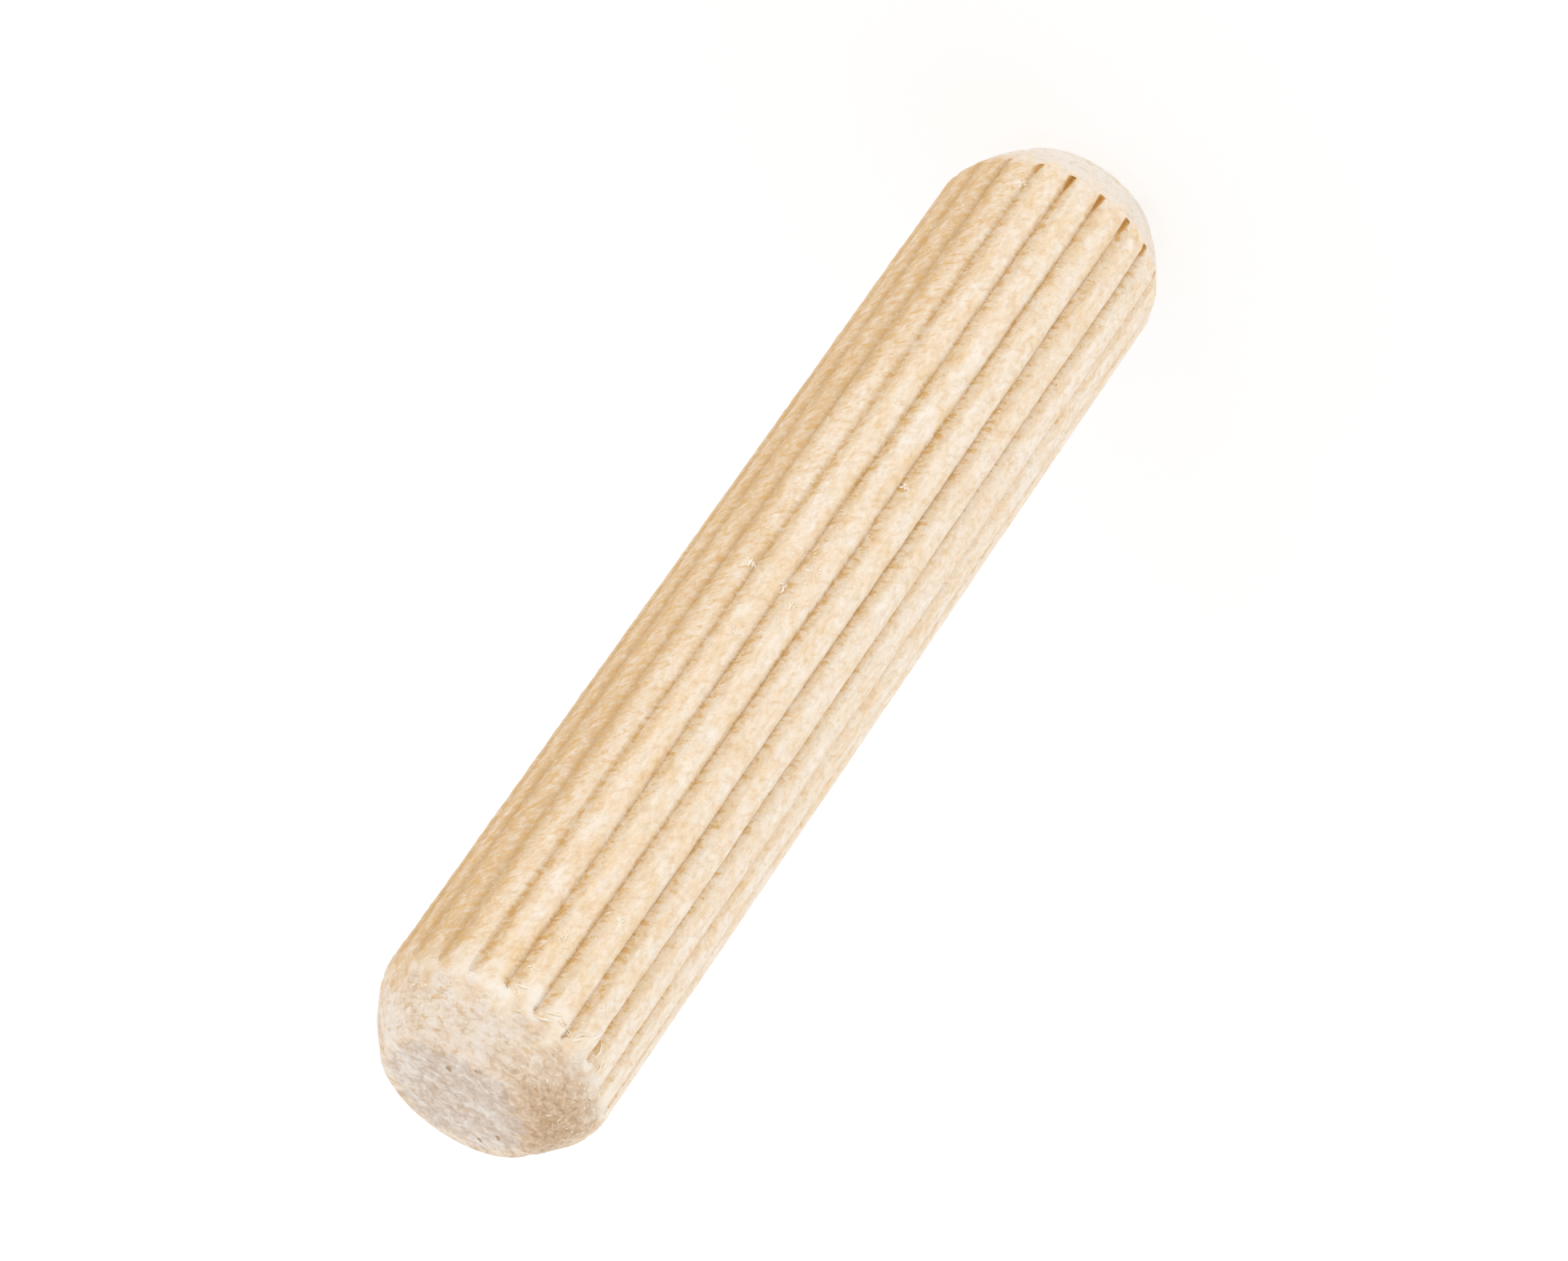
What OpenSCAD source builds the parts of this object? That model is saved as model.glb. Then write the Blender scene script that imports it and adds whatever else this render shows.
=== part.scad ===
// Fluted wooden dowel pin, standing on one of its flat ends.
// The origin is at the middle of the lower end's flat, and +Z runs up the dowel's axis.
// It is one piece of wood: a round rod with ratchet-shaped flutes along its whole length,
// turned down at both ends to a crowned lead-in and a flat end.

/* [Dowel] */
// Diameter over the lands, which is the drill size that the dowel is made for
dowel_d = 8; // [6:0.5:16]
// Length over the two flat ends
dowel_l = 40; // [25:1:100]

/* [Ends] */
// Length of the lead-in at each end
lead_in_l = 2.4; // [1.2:0.1:4]
// How far the radius drops along the lead-in
lead_in_drop = 1.4; // [0.8:0.1:2]
// How far the lead-in bulges out of a straight chamfer
lead_in_crown = 0.16; // [0.05:0.01:0.3]

/* [Flutes] */
// Number of flutes round the dowel
flute_count = 21; // [12:1:28]
// Depth of a flute below the lands
flute_depth = 0.2; // [0.12:0.01:0.4]
// Width of a flute's steep wall, measured at the lands
steep_wall_w = 0.14; // [0.05:0.01:0.25]
// Width of a flute's long slope, measured at the lands
long_slope_w = 0.45; // [0.3:0.01:0.6]
// How far the long slope bulges out of a flat one
long_slope_crown = 0.03; // [0.01:0.005:0.05]

/* [Hidden] */

// Facets of a circle in the preview
$fn = 96;
// How far a cutting shape runs past what it cuts
overcut = 0.1;
// Where one flute's root lies round the axis, which is the middle of the front
front_a = -90;

dowel_r = dowel_d / 2;
// Height of the lead-in's shoulder above and below the dowel's middle
shoulder_z = dowel_l / 2 - lead_in_l;

// Radius and centre of the circle that crowns a chord, from the chord's length and its bulge.
// The centre is on the left of the way from the chord's start to its end.
function crown_radius(chord, bulge) = chord * chord / (8 * bulge) + bulge / 2;
function crown_centre(from, to, bulge) =
    let (chord = to - from,
         left = [-chord.y, chord.x] / norm(chord),
         radius = crown_radius(norm(chord), bulge))
    (from + to) / 2 + left * (radius - bulge);

// The lead-in's crown, as points of [radius, height above the dowel's middle]
shoulder_point = [dowel_r, shoulder_z];
end_point = [dowel_r - lead_in_drop, dowel_l / 2];
lead_in_centre = crown_centre(shoulder_point, end_point, lead_in_crown);
lead_in_r = crown_radius(norm(end_point - shoulder_point), lead_in_crown);

// A flute's corners, as angles from its root round the dowel
pitch_a = 360 / flute_count;
steep_wall_a = 2 * asin(steep_wall_w / dowel_d);
long_slope_a = 2 * asin(long_slope_w / dowel_d);
root_r = dowel_r - flute_depth;

function polar(r, a) = r * [cos(a), sin(a)];

// Cross-section of one flute, with its root at angle 0 and its long slope on the negative side
module flute_profile() {
    root = polar(root_r, 0);
    wall_top = polar(dowel_r, steep_wall_a);
    slope_top = polar(dowel_r, -long_slope_a);
    difference() {
        polygon([
            root,
            slope_top,
            polar(dowel_r + overcut, -long_slope_a),
            polar(dowel_r + overcut, steep_wall_a),
            wall_top
        ]);
        translate(crown_centre(slope_top, root, long_slope_crown))
            circle(r = crown_radius(norm(slope_top - root), long_slope_crown));
    }
}

// Cross-section of the fluted rod
module rod_profile() {
    difference() {
        circle(r = dowel_r);
        for (i = [0 : flute_count - 1])
            rotate(front_a + i * pitch_a) flute_profile();
    }
}

// Half-section of the shape that the two lead-ins and the two flat ends leave
module lead_in_profile() {
    intersection() {
        translate([0, -dowel_l / 2]) square([dowel_d, dowel_l]);
        union() {
            translate([0, -shoulder_z + overcut]) square([dowel_r + overcut, 2 * (shoulder_z - overcut)]);
            for (side = [-1, 1])
                translate([lead_in_centre.x, side * lead_in_centre.y]) circle(r = lead_in_r);
        }
    }
}

module dowel_pin() {
    color("burlywood")
        translate([0, 0, dowel_l / 2])
            intersection() {
                linear_extrude(height = dowel_l + 2 * overcut, center = true) rod_profile();
                rotate_extrude() lead_in_profile();
            }
}

dowel_pin();
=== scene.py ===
"""A fluted wooden dowel pin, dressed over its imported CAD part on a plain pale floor.

The dowel stands on one end, with its axis along +Z. One piece is the turned and fluted wood, with
its torn slopes and fuzzy ends; the others are the loose fibres that stand off it.
"""

from __future__ import annotations
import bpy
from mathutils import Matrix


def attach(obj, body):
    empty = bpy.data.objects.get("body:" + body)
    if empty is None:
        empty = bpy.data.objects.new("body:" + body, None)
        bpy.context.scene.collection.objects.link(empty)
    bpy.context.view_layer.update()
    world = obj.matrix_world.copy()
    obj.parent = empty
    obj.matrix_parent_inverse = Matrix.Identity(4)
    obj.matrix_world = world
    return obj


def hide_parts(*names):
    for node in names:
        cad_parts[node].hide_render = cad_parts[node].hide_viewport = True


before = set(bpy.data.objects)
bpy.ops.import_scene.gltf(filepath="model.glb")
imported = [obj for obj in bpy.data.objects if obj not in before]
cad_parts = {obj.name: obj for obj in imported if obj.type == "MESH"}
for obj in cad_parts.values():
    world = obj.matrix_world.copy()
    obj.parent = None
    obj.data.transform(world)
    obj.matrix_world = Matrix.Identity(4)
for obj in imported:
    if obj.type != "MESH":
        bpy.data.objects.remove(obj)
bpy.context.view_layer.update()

import logging
import math
from dataclasses import dataclass, field
from enum import Enum

import bmesh
import bpy
import numpy as np
from mathutils import Matrix, Quaternion, Vector

logging.basicConfig(level=logging.INFO, format="%(levelname)s %(message)s")
LOG = logging.getLogger("dowel")

MM = 0.001
# Less than any real length, to tell places apart
TINY = 0.001 * MM
# Slant of the torn strokes, from the way round the dowel towards +Z
STROKE_DEG = 39.3
NODE = "dowel_pin"
BODY = "root"
Pair = tuple[float, float]
Band = tuple[float, float, float, float]
RGB = tuple[float, float, float]
Socket = bpy.types.NodeSocket
Sockets = bpy.types.NodeOutputs


class Field(str, Enum):
    """Names of the values that the body's vertices carry for its material."""

    # Partly the torn slopes' own tan, partly painted shade on the steep walls
    SLOPE = "slope"
    # Partly the wood's darker root lines, partly painted shade in the roots
    ROOT = "root"
    # Partly the smooth lands' own paleness, partly a painted highlight on the crests
    CREST = "crest"
    TORN = "torn"
    LEAD_IN = "lead_in"
    FACE = "face"
    # Pale lips and land ends, partly the frayed wood's own paleness, partly a painted highlight
    LIP = "lip"
    # Painted shade in the pits where the flutes end
    PIT_SHADE = "hollow"
    # Painted shade on one side of the upper lead-in, and painted light on the lower one
    END_SHADE_AND_LIGHT = "tan_end"


@dataclass(frozen=True)
class Shape:
    """Sizes of the dowel, in metres and degrees, which are those of its CAD part.

    The lead-in's crown is an arc from the shoulder to the flat end. Widths are measured straight
    across, at the lands, and the bulge is how far a long slope stands out of a flat one.
    """

    radius: float = 4.0 * MM
    length: float = 40.0 * MM
    lead_in: float = 2.4 * MM
    end_radius: float = 2.6 * MM
    crown_radius: float = 6.11 * MM
    crown_centre_radius: float = -1.84 * MM
    crown_centre_from_middle: float = 15.8 * MM
    flutes: int = 21
    front_deg: float = -90.0
    depth: float = 0.2 * MM
    wall_width: float = 0.14 * MM
    slope_width: float = 0.45 * MM
    slope_bulge: float = 0.03 * MM

    @property
    def pitch_deg(self) -> float:
        """Angle from one flute's root to the next."""
        return 360.0 / self.flutes

    @property
    def wall_deg(self) -> float:
        """Angle from a root to the top of its steep wall."""
        return 2 * math.degrees(math.asin(self.wall_width / 2 / self.radius))

    @property
    def slope_deg(self) -> float:
        """Angle from the top of a long slope to its root."""
        return 2 * math.degrees(math.asin(self.slope_width / 2 / self.radius))

    @property
    def slope_from_deg(self) -> float:
        """Angle from a root to the top of the next flute's long slope."""
        return self.pitch_deg - self.slope_deg

    @property
    def middle(self) -> float:
        """Height of the dowel's middle."""
        return self.length / 2

    def envelope(self, height: np.ndarray) -> np.ndarray:
        """Radius that the crowned lead-ins leave at a height.

        Args:
            height: Heights above the floor.

        Returns:
            The radius of the lead-in's crown, which is more than the dowel's own in its middle.
        """
        out = np.maximum(np.abs(height - self.middle) - self.crown_centre_from_middle, 0.0)
        return self.crown_centre_radius + np.sqrt(np.maximum(self.crown_radius**2 - out**2, 0.0))


def smooth_step(low: float, high: float, value: np.ndarray) -> np.ndarray:
    """Rises smoothly from 0 at low to 1 at high."""
    t = np.clip((value - low) / (high - low), 0.0, 1.0)
    return t * t * (3 - 2 * t)


def soft_min(a: np.ndarray, b: np.ndarray, blend: float) -> np.ndarray:
    """The lesser of two lengths, rounded over about a blend where they cross."""
    h = np.clip(0.5 + 0.5 * (b - a) / blend, 0.0, 1.0)
    return b * (1 - h) + a * h - blend * h * (1 - h)


def bell(value: np.ndarray, middle: float, half_width: float) -> np.ndarray:
    """A bell curve that is 1 at its middle."""
    return np.exp(-(((value - middle) / half_width) ** 2))


def degrees_apart(angle: np.ndarray, other: float) -> np.ndarray:
    """The signed turn from one angle to others, in degrees."""
    return (angle - other + 180.0) % 360.0 - 180.0


@dataclass(frozen=True)
class Noise:
    """Smooth random values that repeat once round the dowel, up to a strength either way.

    Its cells are counted round the dowel, and lean by a share of a turn for each millimetre up.
    """

    seed: int
    cell_height: float
    strength: float = 1.0
    cells_round: int = Shape.flutes
    lean: float = 0.0
    rows: int = 400
    first_row: float = 7.0

    def __call__(self, turn: np.ndarray, height: np.ndarray) -> np.ndarray:
        """Samples the noise.

        Args:
            turn: Turns round the axis.
            height: Heights along the axis, or any other length across the turns.

        Returns:
            One value for each pair.
        """
        table = np.random.default_rng(self.seed).uniform(-1.0, 1.0, (self.cells_round, self.rows))
        u = (turn + self.lean * height / MM) * self.cells_round
        v = height / self.cell_height + self.first_row
        i, j = np.floor(u).astype(int), np.floor(v).astype(int)
        fu, fv = u - i, v - j
        fu, fv = fu * fu * (3 - 2 * fu), fv * fv * (3 - 2 * fv)
        i0, i1 = i % self.cells_round, (i + 1) % self.cells_round
        j0, j1 = j % self.rows, (j + 1) % self.rows
        low = table[i0, j0] * (1 - fu) + table[i1, j0] * fu
        high = table[i0, j1] * (1 - fu) + table[i1, j1] * fu
        return self.strength * (low * (1 - fv) + high * fv)


@dataclass(frozen=True)
class Side:
    """A share that changes on one side of the dowel, by a bell curve over its usual value."""

    middle_deg: float
    half_width_deg: float
    usual: float = 0.0
    change: float = 1.0

    def __call__(self, angle: np.ndarray) -> np.ndarray:
        """The share at angles round the axis."""
        near = bell(degrees_apart(angle, self.middle_deg), 0.0, self.half_width_deg)
        return self.usual + self.change * near


@dataclass
class Profile:
    """Half-section of the dowel as rows of vertices, from the lower pole to the upper one."""

    shape: Shape
    shank_step: float = 0.165 * MM
    shoulder_step: float = 0.1 * MM
    shoulder_zone: float = 2.6 * MM
    before_lead_in: float = 0.2 * MM
    groove_end_zone: float = 1.0 * MM
    groove_end_rows: int = 17
    lead_in_rows: int = 13
    rim: float = 0.3 * MM
    rim_rows: int = 5
    face_from_rim: float = 0.3
    face_rings: int = 12
    radius: np.ndarray = field(init=False)
    height: np.ndarray = field(init=False)
    on_face: np.ndarray = field(init=False)

    def __post_init__(self) -> None:
        """Lays out the rows of the upper half and mirrors them down."""
        s = self.shape
        grooves_end_from = s.middle - s.lead_in - self.before_lead_in
        fine_from = grooves_end_from - self.shoulder_zone
        lead_in_from = grooves_end_from + self.groove_end_zone
        shank = np.arange(0.5, round(fine_from / self.shank_step)) * self.shank_step
        shoulder = np.arange(fine_from, grooves_end_from - self.shoulder_step / 10, self.shoulder_step)
        groove_ends = np.linspace(grooves_end_from, lead_in_from, self.groove_end_rows, endpoint=False)
        lead_in = np.linspace(lead_in_from, s.middle - self.rim, self.lead_in_rows)
        up = np.concatenate([shank, shoulder, groove_ends, lead_in])
        radius = np.minimum(s.radius, s.envelope(up + s.middle))
        turn = np.linspace(0, math.pi / 2, self.rim_rows + 2)[1:]
        rim_radius = radius[-1] - self.rim + self.rim * np.cos(turn)
        rim_up = s.middle - self.rim + self.rim * np.sin(turn)
        rings = rim_radius[-1] * (1 - np.linspace(0, 1, self.face_rings + 1)[1:])
        rim_face = smooth_step(self.face_from_rim, 1.0, np.linspace(0, 1, self.rim_rows + 1))
        radius = np.concatenate([radius, rim_radius, rings])
        face = np.concatenate([np.zeros(len(up)), rim_face, np.ones(len(rings))])
        up = np.concatenate([up, rim_up, np.full(len(rings), s.middle)])
        self.radius = np.concatenate([radius[::-1], radius])
        self.height = np.concatenate([-up[::-1], up]) + s.middle
        self.on_face = np.concatenate([face[::-1], face])


@dataclass
class Places:
    """Where each vertex lies on the dowel before wear moves it.

    The offset is the angle past the flute's root. Down a wall or slope, 0 is its land and 1 its root.
    """

    shape: Shape
    flute: np.ndarray
    offset: np.ndarray
    height: np.ndarray
    radius: np.ndarray
    face: np.ndarray
    turn: np.ndarray = field(init=False)
    lower: np.ndarray = field(init=False)
    from_end: np.ndarray = field(init=False)
    from_root: np.ndarray = field(init=False)
    down_wall: np.ndarray = field(init=False)
    down_slope: np.ndarray = field(init=False)

    def __post_init__(self) -> None:
        """Works out the other measures of each place."""
        s = self.shape
        self.turn = (s.front_deg + self.flute * s.pitch_deg + self.offset) / 360.0
        self.lower = self.height < s.middle
        self.from_end = np.minimum(self.height, s.length - self.height)
        self.from_root = self.offset - np.where(self.offset > s.pitch_deg / 2, s.pitch_deg, 0.0)
        self.down_wall = np.clip(1 - self.offset / s.wall_deg, 0.0, 1.0)
        self.down_slope = np.clip((self.offset - s.slope_from_deg) / s.slope_deg, 0.0, 1.0)

    def along(self, *noises: Noise, flute: np.ndarray | None = None) -> np.ndarray:
        """Adds up noises that run along one flute, which its neighbours don't share."""
        turn = (self.flute if flute is None else flute) / self.shape.flutes
        return sum(noise(turn, self.height) for noise in noises)

    def over(self, *noises: Noise) -> np.ndarray:
        """Adds up noises that run over the whole side."""
        return sum(noise(self.turn, self.height) for noise in noises)


@dataclass(frozen=True)
class TornSide:
    """The side on which the fibres were torn, in patches."""

    side: Side = Side(-33.0, 36.0)
    patches: Noise = Noise(21, 5.0 * MM, 0.45, cells_round=9)

    def share(self, at: Places, angle: np.ndarray) -> np.ndarray:
        """How torn the wood is, from 0 to 1."""
        return np.clip(self.side(angle) * (1 + at.over(self.patches)), 0.0, 1.0)


@dataclass(frozen=True)
class Flutes:
    """The flutes' uneven section, with angles in degrees from a root.

    Here and below, a bell is a bell curve's middle and half width, and a step a smooth step's ends.
    """

    ragged: tuple[Noise, ...] = (Noise(13, 0.42 * MM, 0.6), Noise(14, 0.19 * MM, 0.5))
    ragged_deg: float = 0.9
    ragged_bell: Pair = (10.2, 1.9)
    wander: tuple[Noise, ...] = (
        Noise(11, 5.0 * MM, 0.75), Noise(12, 0.9 * MM, 0.35), Noise(10, 0.35 * MM, 0.3),
    )
    wander_deg: float = 0.5
    calm_step: Pair = (0.9 * MM, 1.8 * MM)
    calm_share: float = 0.2
    depths: tuple[Noise, ...] = (Noise(15, 3.0 * MM, 0.6), Noise(17, 30.0 * MM, 0.6))
    depth_change: float = 0.22
    torn_loss: float = 0.5
    rounding: float = 0.17
    wall_rounding_deg: float = 1.0
    slope_rounding_deg: float = 2.3

    def angles(self, at: Places, ragged: np.ndarray) -> np.ndarray:
        """Angles of the vertices, with the roots wandering and the slopes' upper edges ragged.

        Args:
            at: The vertices' places.
            ragged: The noise of ragged edges.

        Returns:
            An angle for each vertex, in degrees.
        """
        s = at.shape

        def stray(flute: np.ndarray) -> np.ndarray:
            """Degrees by which a flute's root strays."""
            return self.wander_deg * at.along(*self.wander, flute=flute)

        to_next = at.offset / s.pitch_deg
        moved = stray(at.flute) * (1 - to_next) + stray((at.flute + 1) % s.flutes) * to_next
        moved = moved + self.ragged_deg * ragged * bell(at.offset, *self.ragged_bell)
        calmed = np.maximum(smooth_step(*self.calm_step, at.from_end), self.calm_share)
        return s.front_deg + at.flute * s.pitch_deg + at.offset + moved * calmed

    def radii(self, at: Places, torn: np.ndarray) -> np.ndarray:
        """Radius of the fluted section, with its crests rounded and its depth uneven.

        Args:
            at: The vertices' places.
            torn: How torn the wood is.

        Returns:
            A radius for each vertex.
        """
        s = at.shape
        bulge = 4 * s.slope_bulge / s.depth * at.down_slope * (1 - at.down_slope)
        drop = at.down_slope - bulge + at.down_wall
        drop = drop + self.rounding * bell(at.offset, s.wall_deg, self.wall_rounding_deg)
        drop = drop + self.rounding * bell(at.offset, s.slope_from_deg, self.slope_rounding_deg)
        depth = s.depth * (1 + self.depth_change * at.along(*self.depths))
        return s.radius - depth * (1 - self.torn_loss * torn) * drop


@dataclass(frozen=True)
class GrooveEnds:
    """Where the flutes run out short of both ends, in pits with lips round them.

    Pits, lips and the lands' ends are placed by the length from where the lower grooves run out,
    towards the dowel's middle, and by the angle from a root.
    """

    lower: float = 1.84 * MM
    lower_change: Noise = Noise(19, 9.0 * MM, 0.06 * MM)
    lower_ragged: float = 0.02 * MM
    upper: float = 1.93 * MM
    upper_change: Noise = Noise(18, 9.0 * MM, 0.3 * MM)
    upper_ragged: float = 0.07 * MM
    blunt: float = 0.05 * MM
    cover: float = 0.1 * MM
    pit_depth: float = 0.17 * MM
    pit_side: Side = Side(-106.0, 32.0, 0.3, 0.7)
    upper_pit_side: Side = Side(-135.0, 30.0, 0.15, 0.45)
    pit_change: Noise = Noise(16, 9.0 * MM, 0.35)
    least_pit_length: float = 0.35 * MM
    more_pit_length: float = 0.75 * MM
    least_pit_deg: float = 0.7
    more_pit_deg: float = 0.9
    pit_from_root_deg: float = -0.3
    lip_height: float = 0.085 * MM
    lip_bell: Pair = (0.02 * MM, 0.16 * MM)
    lip_root_bell: Pair = (-1.5, 4.6)
    usual_lip: float = 0.35
    lip_change: Noise = Noise(38, 0.3 * MM, 0.9, cells_round=63)
    highest_lip: float = 1.2
    lower_lip: float = 0.45
    frayed_side: Side = Side(-128.0, 26.0, 1.0, 1.2)
    # Paleness of the lips: partly the frayed wood's own, partly a painted highlight
    pale_and_lit_lip: float = 1.5
    land_bell: Pair = (0.25 * MM, 0.5 * MM)
    off_land_bell: Pair = (14.5, 2.8)
    usual_land: float = 0.45
    land_change: Noise = Noise(39, 0.35 * MM, 0.8, cells_round=63)

    def filled(self, at: Places, ragged: np.ndarray) -> np.ndarray:
        """How far the lead-in covers the flutes, which end in a blunt step, from 0 to 1.

        Args:
            at: The vertices' places.
            ragged: The noise of ragged edges.

        Returns:
            One share for each vertex.
        """
        upper = self.upper + at.along(self.upper_change) + self.upper_ragged * ragged
        lower = self.lower + at.along(self.lower_change) + self.lower_ragged * ragged
        return 1 - smooth_step(-self.blunt, self.blunt, at.from_end - np.where(at.lower, lower, upper))

    def pits(self, at: Places, angle: np.ndarray) -> np.ndarray:
        """The pits in which the flutes end, from 0 to 1.

        Args:
            at: The vertices' places.
            angle: The vertices' worn angles.

        Returns:
            One share for each vertex.
        """
        size = np.clip(self.pit_side(angle) + at.along(self.pit_change), 0.0, 1.0)
        size = size * np.where(at.lower, 1.0, self.upper_pit_side(angle))
        length = self.least_pit_length + self.more_pit_length * size
        left = np.clip(1 - self._past(at) / length, 0.0, 1.0)
        half_width = self.least_pit_deg + self.more_pit_deg * left
        return size * left * bell(at.from_root, self.pit_from_root_deg, half_width)

    def lips(self, at: Places, angle: np.ndarray) -> np.ndarray:
        """The lips round the pits, which are highest on the frayed side.

        Args:
            at: The vertices' places.
            angle: The vertices' worn angles.

        Returns:
            One share for each vertex, of up to about 2.
        """
        lip = bell(self._past(at), *self.lip_bell) * bell(at.from_root, *self.lip_root_bell)
        lip = lip * np.clip(self.usual_lip + at.over(self.lip_change), 0.0, self.highest_lip)
        return lip * np.where(at.lower, self.lower_lip, self.frayed_side(angle))

    def land_ends(self, at: Places) -> np.ndarray:
        """Where the lands' upper ends are frayed and pale, partly with a painted highlight, from 0 to 1.

        Args:
            at: The vertices' places.

        Returns:
            One share for each vertex.
        """
        share = np.clip(self.usual_land + at.over(self.land_change), 0.0, 1.0)
        share = bell(self._past(at), *self.land_bell) * share * (1 - bell(at.offset, *self.off_land_bell))
        return np.where(at.lower, 0.0, share)

    def _past(self, at: Places) -> np.ndarray:
        """Length from where the lower grooves run out, at either end, towards the middle."""
        return at.from_end - self.lower


@dataclass(frozen=True)
class LeadIns:
    """How the lead-ins cut the flutes, and the upper one's swelling, its heel, on one side."""

    edge_step: Pair = (-0.03 * MM, 0.04 * MM)
    edge_ragged: float = 0.02 * MM
    edge_round: float = 0.03 * MM
    lip_loss: float = 0.4
    heel: float = 0.18 * MM
    heel_bell: Pair = (1.5 * MM, 0.8 * MM)
    heel_side: Side = Side(-178.0, 50.0)

    def envelope(self, at: Places, angle: np.ndarray) -> np.ndarray:
        """Radius that the lead-ins leave."""
        heel = bell(at.from_end, *self.heel_bell) * self.heel_side(angle)
        return at.shape.envelope(at.height) + self.heel * heel * np.where(at.lower, 0.0, 1.0)

    def share(self, at: Places, proud: np.ndarray, ragged: np.ndarray) -> np.ndarray:
        """Where the lead-ins and flat ends show instead of the flutes, from 0 to 1.

        Args:
            at: The vertices' places.
            proud: How far the fluted section stands outside the lead-ins.
            ragged: The noise of ragged edges.

        Returns:
            One share for each vertex.
        """
        cut = smooth_step(*self.edge_step, proud + self.edge_ragged * ragged)
        return np.maximum(cut, (at.face > 0).astype(float))


@dataclass(frozen=True)
class Relief:
    """Torn fibres, tufts, tool ridges and fuzz that stand off the even surface."""

    stroke_lean: float = -0.0487
    strokes: tuple[Noise, ...] = (
        Noise(31, 0.24 * MM, cells_round=190, lean=stroke_lean),
        Noise(32, 0.13 * MM, 0.6, cells_round=260, lean=stroke_lean),
    )
    stroke_height: float = 0.022 * MM
    tufts: Noise = Noise(33, 0.3 * MM, cells_round=140, lean=stroke_lean)
    tuft_step: Pair = (0.2, 0.8)
    tuft_height: float = 0.035 * MM
    slope_step: Pair = (0.0, 0.3)
    slope_share: float = 0.75
    torn_share: float = 0.4
    ridges: Noise = Noise(34, 2.6 * MM, 0.009 * MM, cells_round=168)
    fuzz: Noise = Noise(35, 0.17 * MM, 0.010 * MM, cells_round=294)
    lead_in_bumps: Noise = Noise(36, 0.13 * MM, 0.024 * MM, cells_round=96)
    lead_in_strokes: Noise = Noise(37, 0.11 * MM, 0.022 * MM, cells_round=38, lean=0.05)
    lower_share: float = 0.6
    rim_step: Pair = (0.0, 0.35 * MM)

    def rise(self, at: Places, torn: np.ndarray, lead_in: np.ndarray) -> np.ndarray:
        """How far each vertex stands off the even surface.

        Args:
            at: The vertices' places.
            torn: How torn the wood is.
            lead_in: Where the lead-ins and flat ends show.

        Returns:
            One height for each vertex.
        """
        torn_part = self.slope_share * smooth_step(*self.slope_step, at.down_slope) + self.torn_share * torn
        torn_part = np.clip(torn_part, 0.0, 1.0) * (1 - lead_in)
        strokes = self.stroke_height * at.over(*self.strokes)
        tufts = self.tuft_height * smooth_step(*self.tuft_step, at.over(self.tufts))
        rise = torn_part * (strokes + tufts) + (1 - lead_in) * at.over(self.ridges, self.fuzz)
        ends = lead_in * at.over(self.lead_in_bumps, self.lead_in_strokes)
        ends = ends * np.where(at.lower, self.lower_share, 1.0) * smooth_step(*self.rim_step, at.from_end)
        return (rise + ends) * (1 - at.face)


@dataclass(frozen=True)
class FlatEnds:
    """Small rises and dents of the flat ends, along the dowel's axis."""

    bumps: tuple[Noise, ...] = (
        Noise(41, 0.24 * MM, cells_round=33), Noise(42, 0.11 * MM, 0.7, cells_round=71),
    )
    bump_height: float = 0.024 * MM
    highest: float = 0.02 * MM
    even_rim: float = 0.4 * MM
    rim_drop: float = 0.11 * MM
    rim_half_width: float = 0.5 * MM
    rim_half_height: float = 0.6 * MM

    def dents(self, at: Places, x: np.ndarray, y: np.ndarray) -> np.ndarray:
        """How far each vertex of an end moves up the axis, which never takes it below the floor.

        Args:
            at: The vertices' places.
            x: The vertices' worn places to the right.
            y: Their worn places to the back.

        Returns:
            One length for each vertex.
        """
        s = at.shape
        bumps = self.bump_height * sum(noise(x / (2 * s.radius) + 0.5, y) for noise in self.bumps)
        from_axis = np.hypot(x, y)
        inside = at.face * (1 - smooth_step(s.end_radius - self.even_rim, s.end_radius, from_axis))
        rim = bell(from_axis, s.end_radius, self.rim_half_width)
        rim = rim * bell(at.from_end, 0.0, self.rim_half_height)
        dent = np.minimum(inside * bumps, self.highest) - self.rim_drop * rim
        return np.where(at.lower, np.maximum(-dent, 0.0), dent)


@dataclass
class Worn:
    """What wear makes of each vertex: its angle and radius, and its share of each kind of wear."""

    angle: np.ndarray
    reach: np.ndarray
    torn: np.ndarray
    lead_in: np.ndarray
    pit: np.ndarray
    # The pale share of the lips and land ends, partly a painted highlight
    lip: np.ndarray


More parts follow.
